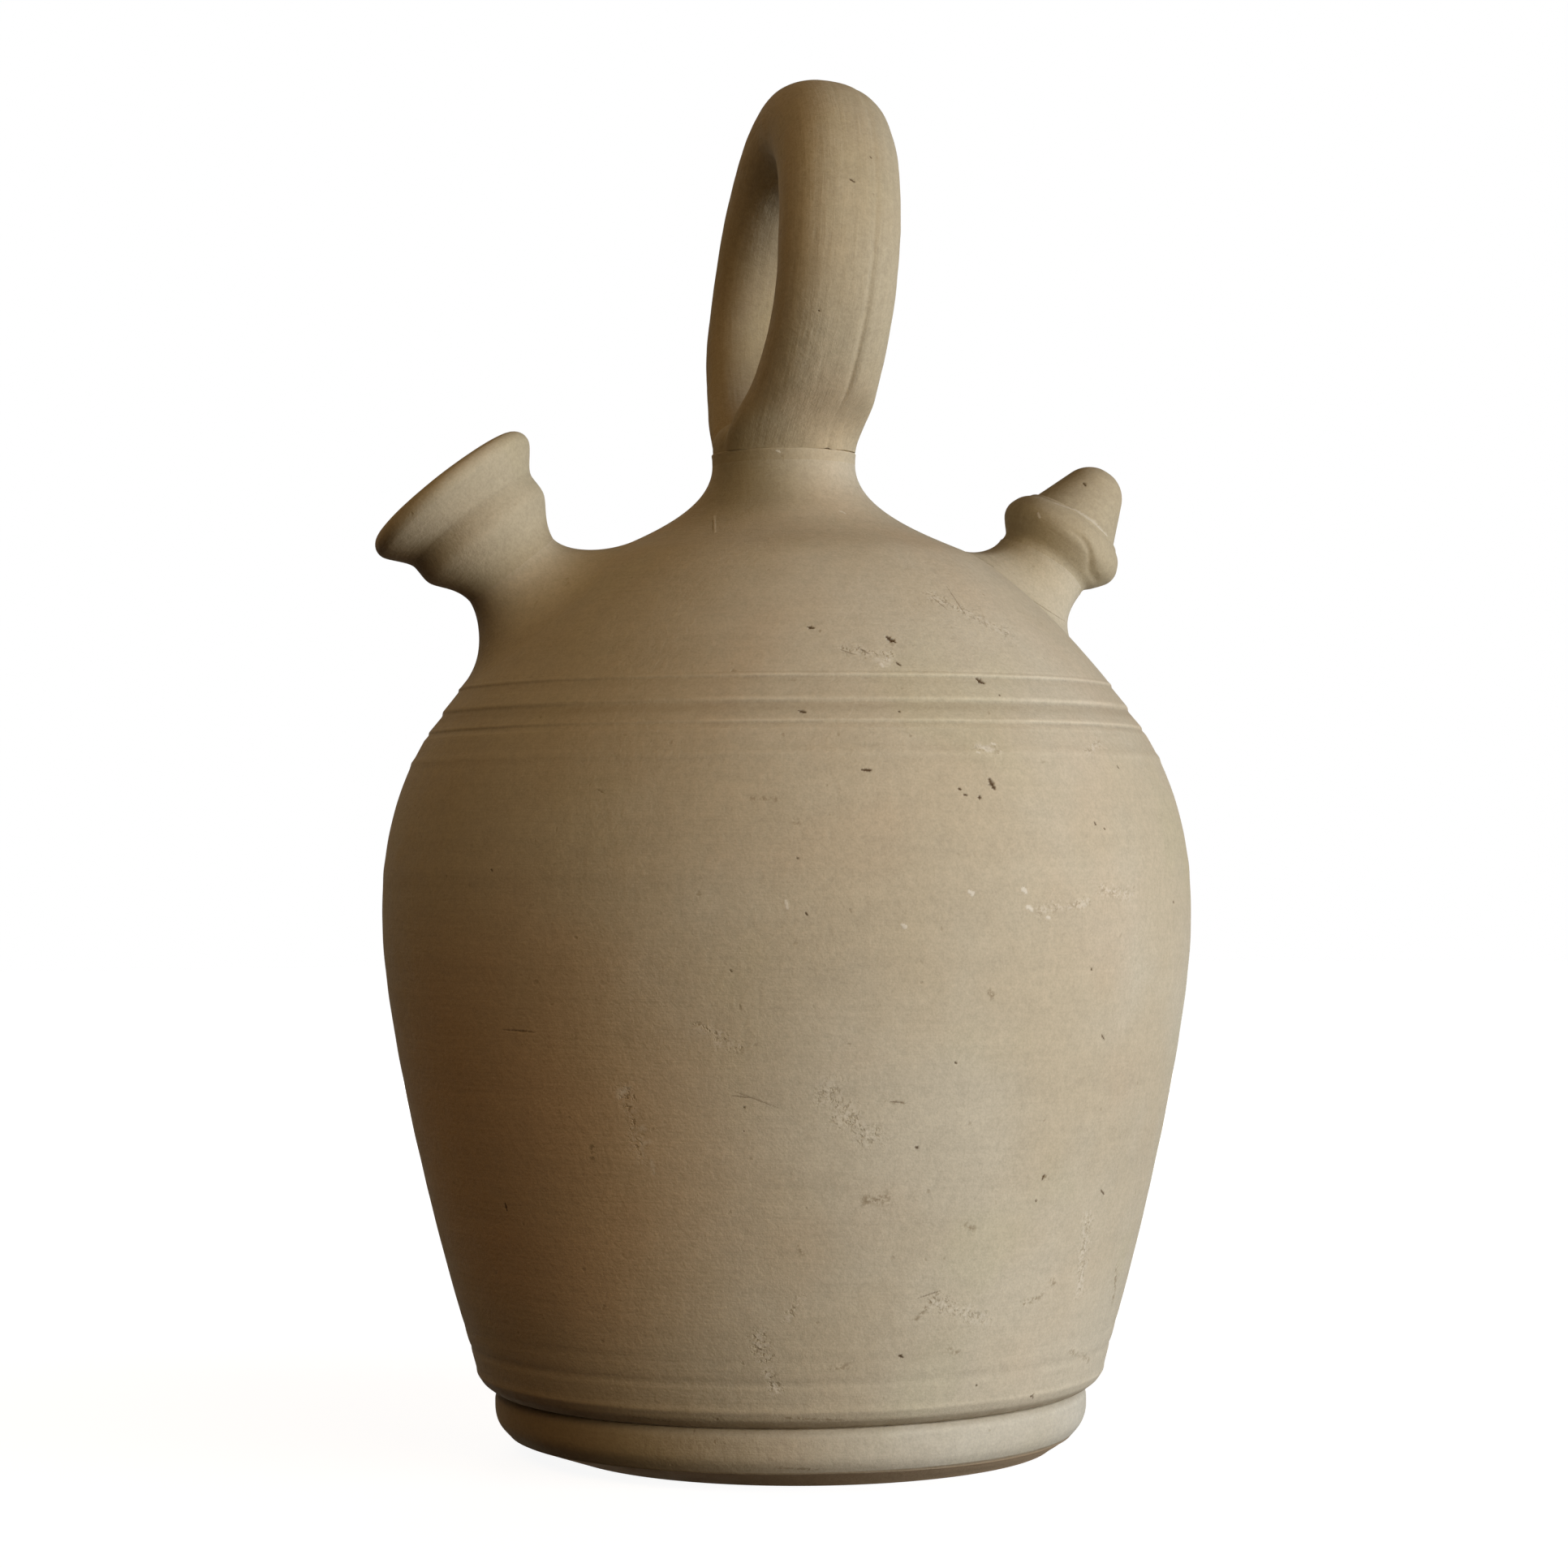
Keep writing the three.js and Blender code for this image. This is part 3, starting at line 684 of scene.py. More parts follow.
# The crease and the lines beside it, each as its place across from the crease, depth and width
DRAG_LINES = ((0, 0.34, 0.65), (1.9, -0.16, 1.2), (-8.5, 0.05, 0.8))
# Shares of the ring's length, from a foot, between which the lines come in and fade
DRAG_START = (0.02, 0.05)
DRAG_END = (0.16, 0.42)
DRAG_FADE = 0.8
# Lumps in the rod, large and small, each as height and size
LUMPS = ((0.2, 14), (0.06, 4))


def at_seam(point):
    """The legs' feet drawn in softly to the neck's width at the seam."""
    radius = math.hypot(point.x, point.y)
    rise = point.z - RING_LEVEL
    over = radius - SEAM_RADIUS - SEAM_FLARE * rise - SEAM_CURL * rise * rise
    if over < -8 * SEAM_SOFTNESS:
        return point
    share = 1 - SEAM_SOFTNESS * math.log(1 + math.exp(over / SEAM_SOFTNESS)) / radius
    return Vector((point.x * share, point.y * share, point.z))


RING_TOTAL = len(ring_path) - 1
unlean = lean.inverted()
handle_skin.normal_update()
handle_skin.verts.ensure_lookup_table()
path_lengths = [0.0]
for a, b in zip(ring_path, ring_path[1:]):
    path_lengths.append(path_lengths[-1] + (b - a).length)
path_tree = KDTree(len(ring_path))
for i, p in enumerate(ring_path):
    path_tree.insert((0, p.x, p.y), i)
path_tree.balance()
handle_mm, handle_streaks = [], []
for vert in handle_skin.verts:
    local = unlean @ (vert.co / MM)
    flat = at(local.y, local.z)
    nearest = path_tree.find((0, flat.x, flat.y))[1]
    middle, along, out = ring_frame(nearest)
    deep = (flat - middle).dot(out)
    share = nearest / RING_TOTAL
    from_foot = min(share, 1 - share)
    fade = 0.0
    if deep > 0:
        fade = ramp(from_foot, *DRAG_START) * (1 - DRAG_FADE * ramp(from_foot, *DRAG_END))
    crease = CREASE_ACROSS + CREASE_WANDER * math.sin(7 * share + 0.4)
    dent = humps(local.x - crease, DRAG_LINES)
    uneven = sum(height * noise.noise(vert.co / (size * MM)) for height, size in LUMPS)
    handle_mm.append(at_seam(vert.co / MM - vert.normal * (dent * fade - uneven)))
    handle_streaks.append((local.x, deep, path_lengths[nearest] * STREAK_RATIO))
handle_faces = [tuple(v.index for v in f.verts) for f in handle_skin.faces]
handle_skin.free()
handle = new_piece("handle_loop", handle_mm, handle_faces, handle_streaks)


def pierce(piece, places):
    """Bores through the dome's wall for the openings."""
    for place, bore in places:
        drill = bmesh.new()
        bmesh.ops.create_cone(
            drill, cap_ends=True, segments=96, radius1=bore * MM, radius2=bore * MM, depth=34 * MM
        )
        mesh = bpy.data.meshes.new("drill")
        drill.to_mesh(mesh)
        drill.free()
        tool = placed("drill", mesh)
        tool.matrix_world = Matrix.Translation(place.translation * MM) @ place.to_3x3().to_4x4()
        cut = piece.modifiers.new("bore", "BOOLEAN")
        cut.object = tool
        cut.operation = "DIFFERENCE"
        cut.solver = "EXACT"
        bpy.context.view_layer.update()
        evaluated = piece.evaluated_get(bpy.context.evaluated_depsgraph_get())
        pierced = bpy.data.meshes.new_from_object(evaluated)
        piece.modifiers.clear()
        piece.data = pierced
        bpy.data.objects.remove(tool)
    piece.data.name = piece.name


pierce(dome, ((mouth_place, MOUTH_BORE), (spout_place, SPOUT_BORE)))

PIECES = {
    "foot_base": (foot, "clay_foot"),
    "belly_wall": (belly, "clay_body"),
    "shoulder_band": (band, "clay_body"),
    "shoulder_dome": (dome, "clay_body"),
    "handle_pad": (pad, "clay_luting"),
    "handle_loop": (handle, "clay_handle"),
    "mouth_coil": (mouth_coil, "clay_luting"),
    "filling_mouth": (mouth, "clay_body"),
    "spout_coil": (spout_coil, "clay_luting"),
    "spout_collar": (collar, "clay_body"),
    "spout_nozzle": (nozzle, "clay_body"),
}
for node_name, (piece, slot_name) in PIECES.items():
    piece.name = "clay_" + node_name
    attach(piece, "root")
    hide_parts(node_name)

# Camera: level, at the photograph's angle, with the horizon below the middle of the frame.
camera_data = bpy.data.cameras.new("camera")
camera_data.sensor_fit = "HORIZONTAL"
camera_data.sensor_width = SENSOR
camera_data.lens = FOCAL_PIXELS * SENSOR / PHOTO_SIZE
camera_data.shift_x = (PHOTO_SIZE / 2 - AXIS_PIXEL) / PHOTO_SIZE
camera_data.shift_y = (HORIZON_PIXEL - PHOTO_SIZE / 2) / PHOTO_SIZE
camera = placed("camera", camera_data)
facing = Matrix((right, up, -ahead)).transposed().to_4x4()
stand = Matrix.Translation((-ahead * CAMERA_DISTANCE + up * CAMERA_LEVEL) * MM)
camera.matrix_world = stand @ facing @ Matrix.Rotation(-CAMERA_ROLL, 4, "Z")
bpy.context.scene.camera = camera
bpy.context.view_layer.update()

depsgraph = bpy.context.evaluated_depsgraph_get()
skins = [BVHTree.FromObject(piece, depsgraph) for piece, _ in PIECES.values()]


def seen_at(x, y):
    """The point of the jug that the photograph shows at a pixel."""
    across = (x / PHOTO_SIZE - 0.5 + camera_data.shift_x) * SENSOR
    rise = (0.5 - y / PHOTO_SIZE + camera_data.shift_y) * SENSOR
    ray = (camera.matrix_world.to_3x3() @ Vector((across, rise, -camera_data.lens))).normalized()
    hits = [skin.ray_cast(camera.matrix_world.translation, ray) for skin in skins]
    near = min((h for h in hits if h[0] is not None), key=lambda h: h[3], default=None)
    return near[0] if near else None


# Marks that the photograph shows, each from one pixel to another, with its width in pixels.
PITS = (
    (994, 772, 1004, 774, 6), (1092, 784, 1104, 792, 10), (1203, 836, 1213, 842, 11), (982, 875, 994, 878, 5),
    (1060, 948, 1074, 949, 6), (1180, 971, 1185, 973, 5), (1219, 959, 1226, 973, 9),
    (1128, 1413, 1131, 1415, 5), (1107, 1670, 1113, 1673, 6), (1270, 1720, 1273, 1723, 7),
    (1202, 1706, 1204, 1708, 4), (1334, 594, 1338, 599, 5), (1046, 220, 1054, 225, 4),
    (1072, 193, 1074, 195, 4), (1008, 382, 1010, 384, 3), (1104, 816, 1110, 820, 5),
    (1357, 1274, 1361, 1282, 4), (1344, 1192, 1346, 1196, 4), (1348, 1012, 1351, 1017, 4),
    (1376, 943, 1379, 947, 4), (1445, 1110, 1447, 1113, 4), (899, 1194, 902, 1198, 3),
    (982, 1056, 984, 1059, 3), (992, 1124, 995, 1128, 4), (1176, 1308, 1179, 1311, 4),
    (622, 1482, 625, 1494, 5), (916, 1363, 918, 1366, 4), (1360, 1020, 1362, 1022, 4),
    (1276, 1478, 1277, 1481, 4), (1356, 1466, 1361, 1472, 4), (1284, 1454, 1287, 1447, 5),
    (604, 1070, 607, 1074, 3), (1207, 980, 1207, 985, 5), (1188, 979, 1192, 980, 5),
    (1107, 876, 1110, 878, 3), (1231, 856, 1233, 858, 3),
)
FLECKS = (
    (1194, 1098, 1198, 1101, 7), (1261, 1096, 1264, 1100, 6), (1266, 1117, 1271, 1120, 6),
    (1290, 1130, 1293, 1131, 4), (1036, 630, 1040, 632, 5), (957, 555, 961, 557, 3),
    (1112, 1140, 1116, 1142, 5), (968, 1110, 970, 1118, 4), (880, 636, 881, 656, 3),
    (1279, 633, 1281, 638, 4), (1093, 812, 1095, 814, 6), (1085, 818, 1088, 821, 5),
    (1089, 816, 1091, 817, 4), (1208, 920, 1216, 924, 5), (1222, 916, 1226, 917, 3),
    (1204, 926, 1206, 927, 3),
)
# The first three blooms are a painted highlight along the top of the spout's flange; the rest are pale marks
BLOOMS_AND_BEAD_HIGHLIGHT = (
    (1300, 620, 1326, 629, 5), (1326, 629, 1346, 642, 6), (1346, 642, 1363, 660, 7),
    (764, 1347, 774, 1341, 11), (791, 1409, 800, 1407, 7), (789, 1389, 794, 1391, 7),
    (803, 1430, 806, 1446, 6), (1206, 919, 1224, 924, 10), (1082, 813, 1096, 818, 9),
)
# The last scratch is a painted shade line along the spout coil's crease, pressed in a little
SCRATCHES_AND_CREASE_SHADE = (
    (1166, 722, 1190, 758, 2), (1148, 735, 1168, 752, 2), (905, 1345, 958, 1365, 2),
    (901, 1350, 925, 1353, 2), (619, 1269, 659, 1272, 3), (878, 636, 878, 658, 2),
    (1093, 1357, 1116, 1359, 2), (735, 972, 745, 978, 2), (1035, 800, 1052, 806, 3),
    (1058, 798, 1072, 806, 3), (1130, 1600, 1160, 1590, 2), (1262, 733, 1316, 768, 2),
)
SCUFFS = (
    (1020, 1350, 1070, 1400, 42), (1040, 800, 1100, 808, 20), (1205, 922, 1230, 924, 16),
    (1340, 925, 1355, 915, 14), (1150, 1605, 1210, 1625, 30), (770, 1345, 790, 1430, 26),
    (1340, 1500, 1330, 1590, 30), (985, 1600, 970, 1625, 18), (1150, 735, 1240, 780, 30),
    (860, 1265, 910, 1290, 26), (1280, 1122, 1340, 1112, 18), (1356, 1096, 1392, 1104, 26),
)
FLAKES = (
    (934, 1650, 940, 1672, 26), (946, 1690, 954, 1712, 20),
)
SMUDGES = (
    (1068, 1479, 1090, 1477, 22), (730, 1414, 731, 1427, 12), (689, 1350, 691, 1372, 4),
    (705, 1276, 708, 1279, 9), (1219, 1222, 1223, 1228, 9), (984, 1538, 988, 1545, 10),
    (1296, 1577, 1299, 1582, 8), (1092, 1357, 1114, 1359, 6), (1259, 1606, 1283, 1597, 9),
    (978, 1012, 984, 1014, 9), (1286, 1450, 1292, 1452, 8), (1129, 1626, 1155, 1595, 8),
    (1376, 1560, 1372, 1600, 14), (925, 985, 955, 985, 7), (1190, 1510, 1200, 1514, 8),
    (770, 1744, 848, 1755, 5), (968, 1747, 1040, 1750, 5), (1022, 1686, 1048, 1683, 9),
    (1168, 1664, 1180, 1666, 8), (1318, 1664, 1342, 1676, 8), (958, 1808, 1008, 1811, 6),
    (1086, 1816, 1112, 1816, 5), (1226, 1810, 1250, 1804, 6),
)

# How far a mark's ragged edge goes, in half widths, and how uneven its width is
MARK_REACH = 1.4
WIDTH_SWING = 0.5
WIDTH_SCALE = 3100
RAGS = ((0.6, 0.6), (0.5, 1.7))


class Mark:
    """One kind of mark: how finely the clay under it is divided, its depth in half widths, its softness,
    the share of its given length that it takes, and how much its ends thin out."""

    def __init__(self, marks, fine, depth, soft, share=1.0, taper=0.0):
        self.fine, self.depth, self.soft = fine * MM, depth, soft
        self.widths, points = [], []
        for x0, y0, x1, y1, width in marks:
            count = 1 + math.ceil(math.hypot(x1 - x0, y1 - y0) * share / (width / 4))
            for i in range(count + 1):
                along = 0.5 + (i / count - 0.5) * share
                point = seen_at(x0 + (x1 - x0) * along, y0 + (y1 - y0) * along)
                if point:
                    points.append(point)
                    thinning = 1 - taper * (2 * i / count - 1) ** 2
                    uneven = 1 + WIDTH_SWING * noise.noise(point * WIDTH_SCALE)
                    self.widths.append(width * PIXEL * 0.5 * thinning * uneven)
        self.tree = KDTree(len(points))
        for i, point in enumerate(points):
            self.tree.insert(point, i)
        self.tree.balance()

    def reaches(self, point, margin):
        """Whether a mark comes within a margin of a point."""
        near = self.tree.find(point)
        return near[2] < self.widths[near[1]] * MARK_REACH + margin

    def strength(self, point):
        """1 in the middle of a mark and 0 outside it, with an uneven edge; and half the mark's width."""
        near = self.tree.find(point)
        width = self.widths[near[1]]
        if near[2] > width * MARK_REACH:
            return 0.0, width
        ragged = width * sum((swing * noise.noise(point * (scale / width)) for swing, scale in RAGS), 1)
        return ramp(ragged - near[2], 0, self.soft * ragged), width


MARKS = {
    "pit": Mark(PITS, 0.2, 0.35, 0.85, 0.8, 0.45),
    "scratch_and_crease_shade": Mark(SCRATCHES_AND_CREASE_SHADE, 0.22, 0.35, 0.6, 1.0, 0.6),
    "fleck": Mark(FLECKS, 0.25, -0.15, 0.5),
    "bloom_and_bead_highlight": Mark(BLOOMS_AND_BEAD_HIGHLIGHT, 0.5, 0.0, 0.8),
    "scuff": Mark(SCUFFS, 1.0, 0.01, 1.0),
    "flake": Mark(FLAKES, 0.8, 0.01, 1.0),
    "smudge": Mark(SMUDGES, 0.7, 0.0, 1.0),
}
FACE_REACH = 1.2
LONG_EDGE = 1.3
DIVISIONS = 5
SCRATCH_AND_CREASE_SHADE_TONE = 0.5
BLOOM_AND_HIGHLIGHT_TONE = 0.6
FLAKE_TONE = 1.6


def mark_piece(piece):
    """Divide the clay where it is marked, press the marks in, and note them for the finish."""
    shell = bmesh.new()
    shell.from_mesh(piece.data)
    for mark in MARKS.values():
        for step in range(DIVISIONS):
            margin = max(mark.fine, FACE_REACH * MM / 2**step)
            long_edges = set()
            for face in shell.faces:
                if mark.reaches(face.calc_center_median(), margin):
                    long_edges.update(e for e in face.edges if e.calc_length() > mark.fine * LONG_EDGE)
            if not long_edges:
                break
            bmesh.ops.subdivide_edges(shell, edges=list(long_edges), cuts=1, use_grid_fill=True)
    shell.normal_update()
    marks = shell.verts.layers.float_vector.new("marks")
    scuff = shell.verts.layers.float.new("scuff")
    for vert in shell.verts:
        push = 0.0
        found = {}
        for kind, mark in MARKS.items():
            found[kind], width = mark.strength(vert.co)
            push += found[kind] * width * mark.depth
        # Pits and scratches, with the painted shade line along the spout coil's crease
        hollow_and_crease_shade = max(found["pit"], found["scratch_and_crease_shade"] * SCRATCH_AND_CREASE_SHADE_TONE)
        # Pale flecks and blooms, with the painted highlight on the spout's flange
        pale = max(found["fleck"], found["bloom_and_bead_highlight"] * BLOOM_AND_HIGHLIGHT_TONE)
        vert[marks] = (hollow_and_crease_shade, pale, found["smudge"])
        vert[scuff] = found["scuff"] + FLAKE_TONE * found["flake"]
        vert.co -= vert.normal * push
    shell.to_mesh(piece.data)
    shell.free()


for piece, _ in PIECES.values():
    mark_piece(piece)


class Graph:
    """Short ways to add nodes to one node tree."""

    def __init__(self, tree):
        self.tree = tree

    def add(self, kind, inputs=None, **settings):
        made = self.tree.nodes.new(kind)
        for key, value in settings.items():
            setattr(made, key, value)
        for key, value in (inputs or {}).items():
            if isinstance(value, bpy.types.NodeSocket):
                self.tree.links.new(value, made.inputs[key])
            else:
                made.inputs[key].default_value = value
        return made

    def math(self, operation, a, b=0.0, clamp=False):
        return self.add("ShaderNodeMath", {0: a, 1: b}, operation=operation, use_clamp=clamp).outputs[0]

    def vector(self, operation, a, b=(0, 0, 0)):
        return self.add("ShaderNodeVectorMath", {0: a, 1: b}, operation=operation)

    def noise(self, vector, scale, detail, roughness, output=0):
        inputs = {"Vector": vector, "Scale": scale, "Detail": detail, "Roughness": roughness}
        return self.add("ShaderNodeTexNoise", inputs).outputs[output]

    def ramp(self, value, low, high, to_low=0.0, to_high=1.0):
        inputs = {"Value": value, "From Min": low, "From Max": high, "To Min": to_low, "To Max": to_high}
        return self.add("ShaderNodeMapRange", inputs, interpolation_type="SMOOTHSTEP").outputs[0]

    def mix(self, share, a, b, blend="MIX"):
        made = self.add("ShaderNodeMix", {0: share, 6: a, 7: b}, data_type="RGBA", blend_type=blend)
        return made.outputs[2]


def fresh_graph(owner):
    """The emptied node tree of a material or world."""
    owner.use_nodes = True
    owner.node_tree.nodes.clear()
    return Graph(owner.node_tree)


def linear(red, green, blue):
    """A colour given as it shows on a screen, from 0 to 255."""
    return tuple(((c / 255 + 0.055) / 1.055) ** 2.4 for c in (red, green, blue)) + (1.0,)


PIT_AND_SHADE_COLOUR = linear(66, 43, 16)
FLECK_AND_HIGHLIGHT_COLOUR = linear(226, 220, 206)
SMUDGE_AND_SHADE_COLOUR = linear(128, 112, 86)
SOLE_COLOUR = linear(156, 132, 102)
# Painted shade in the grooves, each as level and reach in millimetres, and strength
GROOVE_SHADE = ((4.75, 0.5, 0.6), (16.8, 2.8, 0.5), (191.2, 2.0, 0.22), (197.6, 1.6, 0.10))
PINK_TINT = (1.025, 0.985, 0.97, 1)
OLIVE_TINT = (0.985, 1.0, 0.955, 1)
# Places, and the distances from them or levels at which a tint starts and is full, in metres
BLUSH_TINT = (1.22, 1.02, 0.86, 1)
BLUSH_PLACE = (-0.079, -0.049, 0.082)
BLUSH_REACH = (0.085, 0.02)
# Painted shade on the front of the neck, where the handle overhangs it
NECK_SHADE_TINT = (0.60, 0.61, 0.55, 1)
NECK_SHADE_PLACE = (-0.0136, -0.0146, 0.253)
NECK_SHADE_REACH = (0.025, 0.004)
# Painted shade on the low left side of the foot, the side away from the lights
FOOT_SHADE_TINT = (0.76, 0.63, 0.46, 1)
FOOT_SHADE_PLACE = (-0.076, -0.012, 0.008)
FOOT_SHADE_REACH = (0.12, 0.03)
FOOT_SHADE_LEVELS = (0.026, 0.012)
SOLE_LEVELS = (0.0052, 0.0040)


def surface_group():
    """Fired clay: mottling, throwing lines, grain, pores, the marks of long use, and painted shade and
    highlight.
    """
    tree = bpy.data.node_groups.new("clay_surface", "ShaderNodeTree")
    for name, kind in (("Clay", "Color"), ("Pale", "Color"), ("Drag", "Float")):
        tree.interface.new_socket(name, in_out="INPUT", socket_type="NodeSocket" + kind)
    for name, kind in (("Colour", "Color"), ("Roughness", "Float"), ("Height", "Float")):
        tree.interface.new_socket(name, in_out="OUTPUT", socket_type="NodeSocket" + kind)
    g = Graph(tree)
    given = g.add("NodeGroupInput").outputs
    place = g.add("ShaderNodeNewGeometry").outputs["Position"]
    streak = g.add("ShaderNodeAttribute", attribute_name="streak").outputs["Vector"]
    edge = g.add("ShaderNodeAttribute", attribute_name="edge").outputs["Fac"]

    # Large soft patches of paler, pinker and greener clay
    patches = g.noise(place, 17, 3, 0.55)
    hue = g.noise(g.vector("ADD", place, (0.31, 0.17, 0.05)).outputs[0], 23, 2, 0.5)
    colour = g.mix(g.ramp(patches, 0.36, 0.68), given["Clay"], given["Pale"])
    colour = g.mix(g.ramp(hue, 0.52, 0.74, 0, 0.75), colour, PINK_TINT, "MULTIPLY")
    colour = g.mix(g.ramp(hue, 0.46, 0.28, 0, 0.75), colour, OLIVE_TINT, "MULTIPLY")

    # The kiln's blush on one side
    off = g.vector("DISTANCE", place, BLUSH_PLACE).outputs["Value"]
    blush = g.math("MULTIPLY", g.ramp(off, *BLUSH_REACH), g.ramp(patches, 0.3, 0.7, 0.6, 1.0))
    colour = g.mix(blush, colour, BLUSH_TINT, "MULTIPLY")

    # Throwing lines, broad and fine, and the clay's grain
    broad = g.noise(streak, 150, 3, 0.6)
    lines = g.noise(streak, 900, 3, 0.65)
    grain = g.noise(place, 1700, 2, 0.6)
    sand = g.noise(place, 620, 2, 0.55)
    cloud = g.noise(place, 180, 4, 0.65)
    drawn = g.math("ADD", g.ramp(broad, 0.3, 0.7, -0.02, 0.015), g.ramp(lines, 0.25, 0.75, -0.02, 0.02))
    tone = g.math("ADD", 1.0, g.math("MULTIPLY", drawn, given["Drag"]))
    for texture, swing in ((grain, 0.06), (sand, 0.045), (cloud, 0.033)):
        tone = g.math("ADD", tone, g.ramp(texture, 0.25, 0.75, -swing, swing))
    # Ridges a little paler, as wear and as painted highlight, and grooves darker as painted shade, broken up
    # by noise
    worn = g.ramp(g.noise(place, 34, 3, 0.6), 0.38, 0.60, 0.2, 1.0)
    tone = g.math("ADD", tone, g.math("MULTIPLY", worn, g.ramp(edge, -0.9, 0.9, -0.16, 0.07)))
    shade = g.add("ShaderNodeCombineColor", {0: tone, 1: tone, 2: tone}).outputs[0]
    colour = g.mix(1.0, colour, shade, "MULTIPLY")

    # The underside, painted shade on the foot's left side and on the neck under the handle, and painted shade
    # under the lip and the ridges
    level = g.add("ShaderNodeSeparateXYZ", {0: place}).outputs["Z"]
    colour = g.mix(g.ramp(level, *SOLE_LEVELS, 0, 0.8), colour, SOLE_COLOUR)
    # Painted shade on the foot's left side
    off = g.vector("DISTANCE", place, FOOT_SHADE_PLACE).outputs["Value"]
    foot_shade = g.math("MULTIPLY", g.ramp(off, *FOOT_SHADE_REACH), g.ramp(level, *FOOT_SHADE_LEVELS))
    colour = g.mix(foot_shade, colour, FOOT_SHADE_TINT, "MULTIPLY")
    # Painted shade on the front of the neck under the handle
    off = g.vector("DISTANCE", place, NECK_SHADE_PLACE).outputs["Value"]
    colour = g.mix(g.ramp(off, *NECK_SHADE_REACH, 0, 0.8), colour, NECK_SHADE_TINT, "MULTIPLY")
    # Painted shade at the foot's lower edge, under the lip and under the band's ridges
    groove_shade = 0.0
    for height, reach, strength in GROOVE_SHADE:
        off = g.math("ABSOLUTE", g.math("SUBTRACT", level, height * MM))
        groove_shade = g.math("MAXIMUM", groove_shade, g.ramp(off, reach * MM, 0, 0, strength))
    groove_shade = g.math("MULTIPLY", groove_shade, g.ramp(cloud, 0.3, 0.7, 0.7, 1.3))
    colour = g.mix(groove_shade, colour, SMUDGE_AND_SHADE_COLOUR)

    # Pores and grit in every part of the surface
    drift = g.noise(place, 420, 2, 0.5, "Color")
    drift = g.vector("SUBTRACT", drift, (0.5, 0.5, 0.5)).outputs[0]
    drift = g.add("ShaderNodeVectorMath", {0: drift, "Scale": 0.0022}, operation="SCALE").outputs[0]
    warped = g.vector("ADD", place, drift).outputs[0]
    cells = g.add("ShaderNodeTexVoronoi", {"Vector": warped, "Scale": 62.0})
    chance = g.add("ShaderNodeSeparateColor", {0: cells.outputs["Color"]}).outputs
    size = g.ramp(chance[1], 0.0, 1.0, 0.02, 0.055)
    rare = g.math("GREATER_THAN", chance[0], 0.88)
    pores = g.math("MULTIPLY", rare, g.ramp(cells.outputs["Distance"], 0.0, size, 1.0, 0.0))
    grit_cells = g.add("ShaderNodeTexVoronoi", {"Vector": warped, "Scale": 230.0})
    grit_chance = g.add("ShaderNodeSeparateColor", {0: grit_cells.outputs["Color"]}).outputs
    grit = g.ramp(grit_cells.outputs["Distance"], 0.05, 0.16, 1.0, 0.0)
    grit = g.math("MULTIPLY", grit, g.math("GREATER_THAN", grit_chance[0], 0.86))

    # The marks that the photograph shows
    marks = g.add("ShaderNodeAttribute", attribute_name="marks").outputs["Vector"]
    hollows_and_crease_shade, pale_marks_and_highlight, smudges = g.add("ShaderNodeSeparateXYZ", {0: marks}).outputs
    scuffs = g.add("ShaderNodeAttribute", attribute_name="scuff").outputs["Fac"]
    rub = g.noise(place, 850, 2, 0.6)
    rubbed = g.math("MULTIPLY", scuffs, g.ramp(rub, 0.50, 0.62))
    dug = g.math("MULTIPLY", scuffs, g.ramp(rub, 0.46, 0.36))
    stains = g.math("MULTIPLY", smudges, g.ramp(rub, 0.60, 0.40))

    # Pale marks carry a painted highlight on the spout's flange, and hollows a painted shade line along the
    # spout coil's crease
    tints = (
        (stains, 0.75, SMUDGE_AND_SHADE_COLOUR),
        (grit, 0.28, SMUDGE_AND_SHADE_COLOUR),
        (rubbed, 0.30, FLECK_AND_HIGHLIGHT_COLOUR),
        (dug, 0.30, SMUDGE_AND_SHADE_COLOUR),
        (pale_marks_and_highlight, 0.55, FLECK_AND_HIGHLIGHT_COLOUR),
        (g.math("MAXIMUM", hollows_and_crease_shade, pores), 0.92, PIT_AND_SHADE_COLOUR),
    )
    for where, strength, tint in tints:
        colour = g.mix(g.math("MULTIPLY", where, strength), colour, tint)

    # The surface's small heights, for the bump
    drawn = g.math("ADD", g.ramp(lines, 0.2, 0.8, -0.06, 0.06), g.ramp(broad, 0.25, 0.75, -0.07, 0.07))
    height = g.math("MULTIPLY", drawn, given["Drag"])
    for texture, swing in ((grain, 0.06), (sand, 0.09), (cloud, 0.12)):
        height = g.math("ADD", height, g.ramp(texture, 0.2, 0.8, -swing, swing))
    for where, rise in ((pores, -1.3), (grit, -0.25), (dug, -0.5)):
        height = g.math("ADD", height, g.math("MULTIPLY", where, rise))
    roughness = g.math("ADD", g.ramp(cloud, 0.2, 0.8, 0.74, 0.88), g.math("MULTIPLY", scuffs, 0.06))
    g.add("NodeGroupOutput", {"Colour": colour, "Roughness": roughness, "Height": height})
    return tree


surface = surface_group()


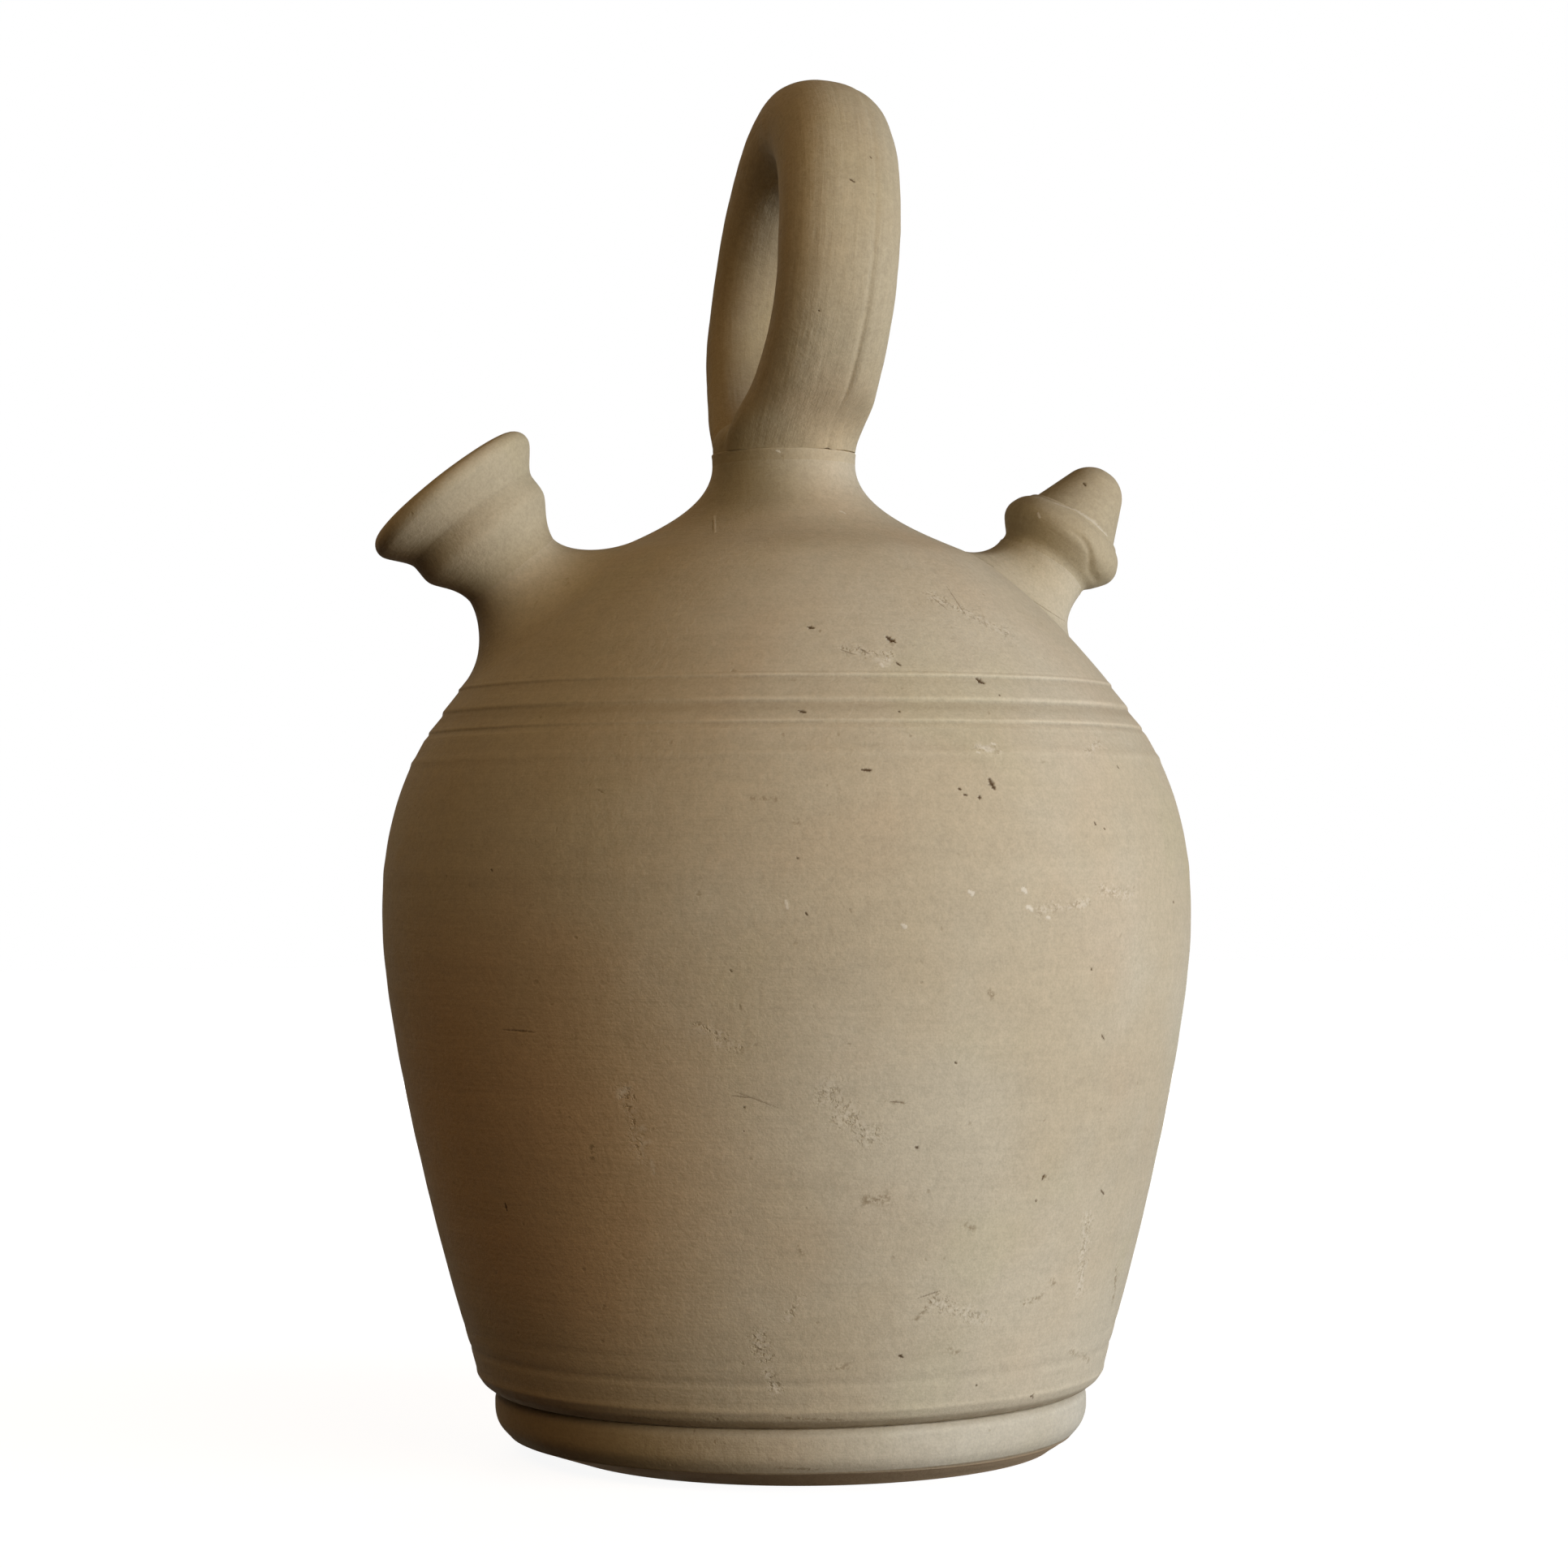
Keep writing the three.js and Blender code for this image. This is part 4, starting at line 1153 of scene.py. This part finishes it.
def clay(name, base, pale, drag):
    """A finish of one clay tone over the shared surface."""
    material = bpy.data.materials.new(name)
    g = fresh_graph(material)
    skin = g.add("ShaderNodeGroup", node_tree=surface)
    skin.inputs["Clay"].default_value = base
    skin.inputs["Pale"].default_value = pale
    skin.inputs["Drag"].default_value = drag
    bump = g.add("ShaderNodeBump", {"Strength": 0.55, "Distance": 0.0004, "Height": skin.outputs["Height"]})
    shader = g.add(
        "ShaderNodeBsdfPrincipled",
        {
            "Base Color": skin.outputs["Colour"],
            "Roughness": skin.outputs["Roughness"],
            "Normal": bump.outputs[0],
            "Specular IOR Level": 0.04,
        },
    )
    g.add("ShaderNodeOutputMaterial", {"Surface": shader.outputs[0]})
    return material


# Each clay's tone, paler tone and strength of its throwing lines
TONES = {
    "clay_body": ((183, 171, 147), (191, 182, 161), 1.0),
    "clay_foot": ((184, 176, 157), (192, 186, 170), 1.0),
    "clay_handle": ((174, 160, 132), (182, 170, 144), 1.7),
    "clay_luting": ((181, 169, 144), (190, 180, 158), 1.0),
    "clay_pad": ((178, 165, 139), (186, 175, 151), 1.0),
    "clay_opening": ((172, 159, 132), (180, 169, 144), 1.0),
}
CLAYS = {name: clay(name, linear(*base), linear(*pale), drag) for name, (base, pale, drag) in TONES.items()}
OWN_CLAYS = {mouth: "clay_opening", collar: "clay_opening", nozzle: "clay_opening", pad: "clay_pad"}
for piece, slot_name in PIECES.values():
    piece.data.materials.clear()
    piece.data.materials.append(CLAYS[OWN_CLAYS.get(piece, slot_name)])


def seen_rays(g):
    """1 for what the camera sees, straight or in a reflection, and 0 for light on the object."""
    path = g.add("ShaderNodeLightPath").outputs
    reflected = g.math("MAXIMUM", path["Is Glossy Ray"], path["Is Transmission Ray"])
    return g.math("MAXIMUM", path["Is Camera Ray"], reflected)


# Floor: pale and plain, white where it runs out, with the jug's soft shadow on it.
FLOOR_RADIUS = 4.0
FLOOR_LIT = linear(72, 52, 34)
FLOOR_SEEN = linear(150, 151, 153)
floor_shell = bmesh.new()
bmesh.ops.create_circle(floor_shell, cap_ends=True, segments=96, radius=FLOOR_RADIUS)
floor_mesh = bpy.data.meshes.new("floor")
floor_shell.to_mesh(floor_mesh)
floor_shell.free()
floor = placed("floor", floor_mesh)
floor_material = bpy.data.materials.new("floor_pale")
g = fresh_graph(floor_material)
seen = seen_rays(g)
away = g.vector("LENGTH", g.add("ShaderNodeNewGeometry").outputs["Position"]).outputs["Value"]
glow = g.math("MULTIPLY", seen, g.ramp(away, 0.1, 0.5, 0.92, 1.0))
tint = g.mix(seen, FLOOR_LIT, FLOOR_SEEN)
diffuse = g.add("ShaderNodeBsdfDiffuse", {"Color": tint})
emission = g.add("ShaderNodeEmission", {"Color": (1, 1, 1, 1), "Strength": glow})
both = g.add("ShaderNodeAddShader", {0: diffuse.outputs[0], 1: emission.outputs[0]})
g.add("ShaderNodeOutputMaterial", {"Surface": both.outputs[0]})
floor_mesh.materials.append(floor_material)

# World: white behind the jug, and a dim warm light on it.
world = bpy.data.worlds.new("studio")
bpy.context.scene.world = world
g = fresh_graph(world)
seen = seen_rays(g)
rise = g.add("ShaderNodeSeparateXYZ", {0: g.add("ShaderNodeTexCoord").outputs["Generated"]}).outputs["Z"]
ambient = g.add(
    "ShaderNodeBackground", {"Color": (1.0, 0.6, 0.3, 1), "Strength": g.ramp(rise, -0.05, 0.9, 0.024, 0.1)}
)
white = g.add("ShaderNodeBackground", {"Color": (1, 1, 1, 1), "Strength": 1.0})
backdrop = g.add("ShaderNodeMixShader", {0: seen, 1: ambient.outputs[0], 2: white.outputs[0]})
g.add("ShaderNodeOutputWorld", {"Surface": backdrop.outputs[0]})


LIGHT_DISTANCE = 1.6
LIGHT_LEVEL = 0.17


def softbox(name, azimuth, elevation, size, power, colour):
    """An area light that faces the jug's middle. Its azimuth turns from the camera to the picture's right."""
    a, e = math.radians(azimuth), math.radians(elevation)
    out = (-ahead * math.cos(a) + right * math.sin(a)) * math.cos(e) + up * math.sin(e)
    data = bpy.data.lights.new(name, "AREA")
    data.shape = "ELLIPSE"
    data.size, data.size_y = size
    data.energy = power
    data.color = colour
    light = placed(name, data)
    light.location = out * LIGHT_DISTANCE + up * LIGHT_LEVEL
    light.rotation_euler = out.to_track_quat("Z", "Y").to_euler()


softbox("cool_light", 65, 3, (0.9, 0.55), 17.2, (0.89, 1.0, 1.19))
softbox("warm_light", 40, 3, (0.9, 0.55), 12.6, (1.0, 0.85, 0.63))
softbox("left_light", -50, 48, (1.0, 1.0), 4.05, (1.0, 0.66, 0.32))
softbox("back_light", 180, 3, (0.5, 0.5), 9, (1.0, 0.93, 0.82))

bpy.context.scene.view_settings.view_transform = "Standard"
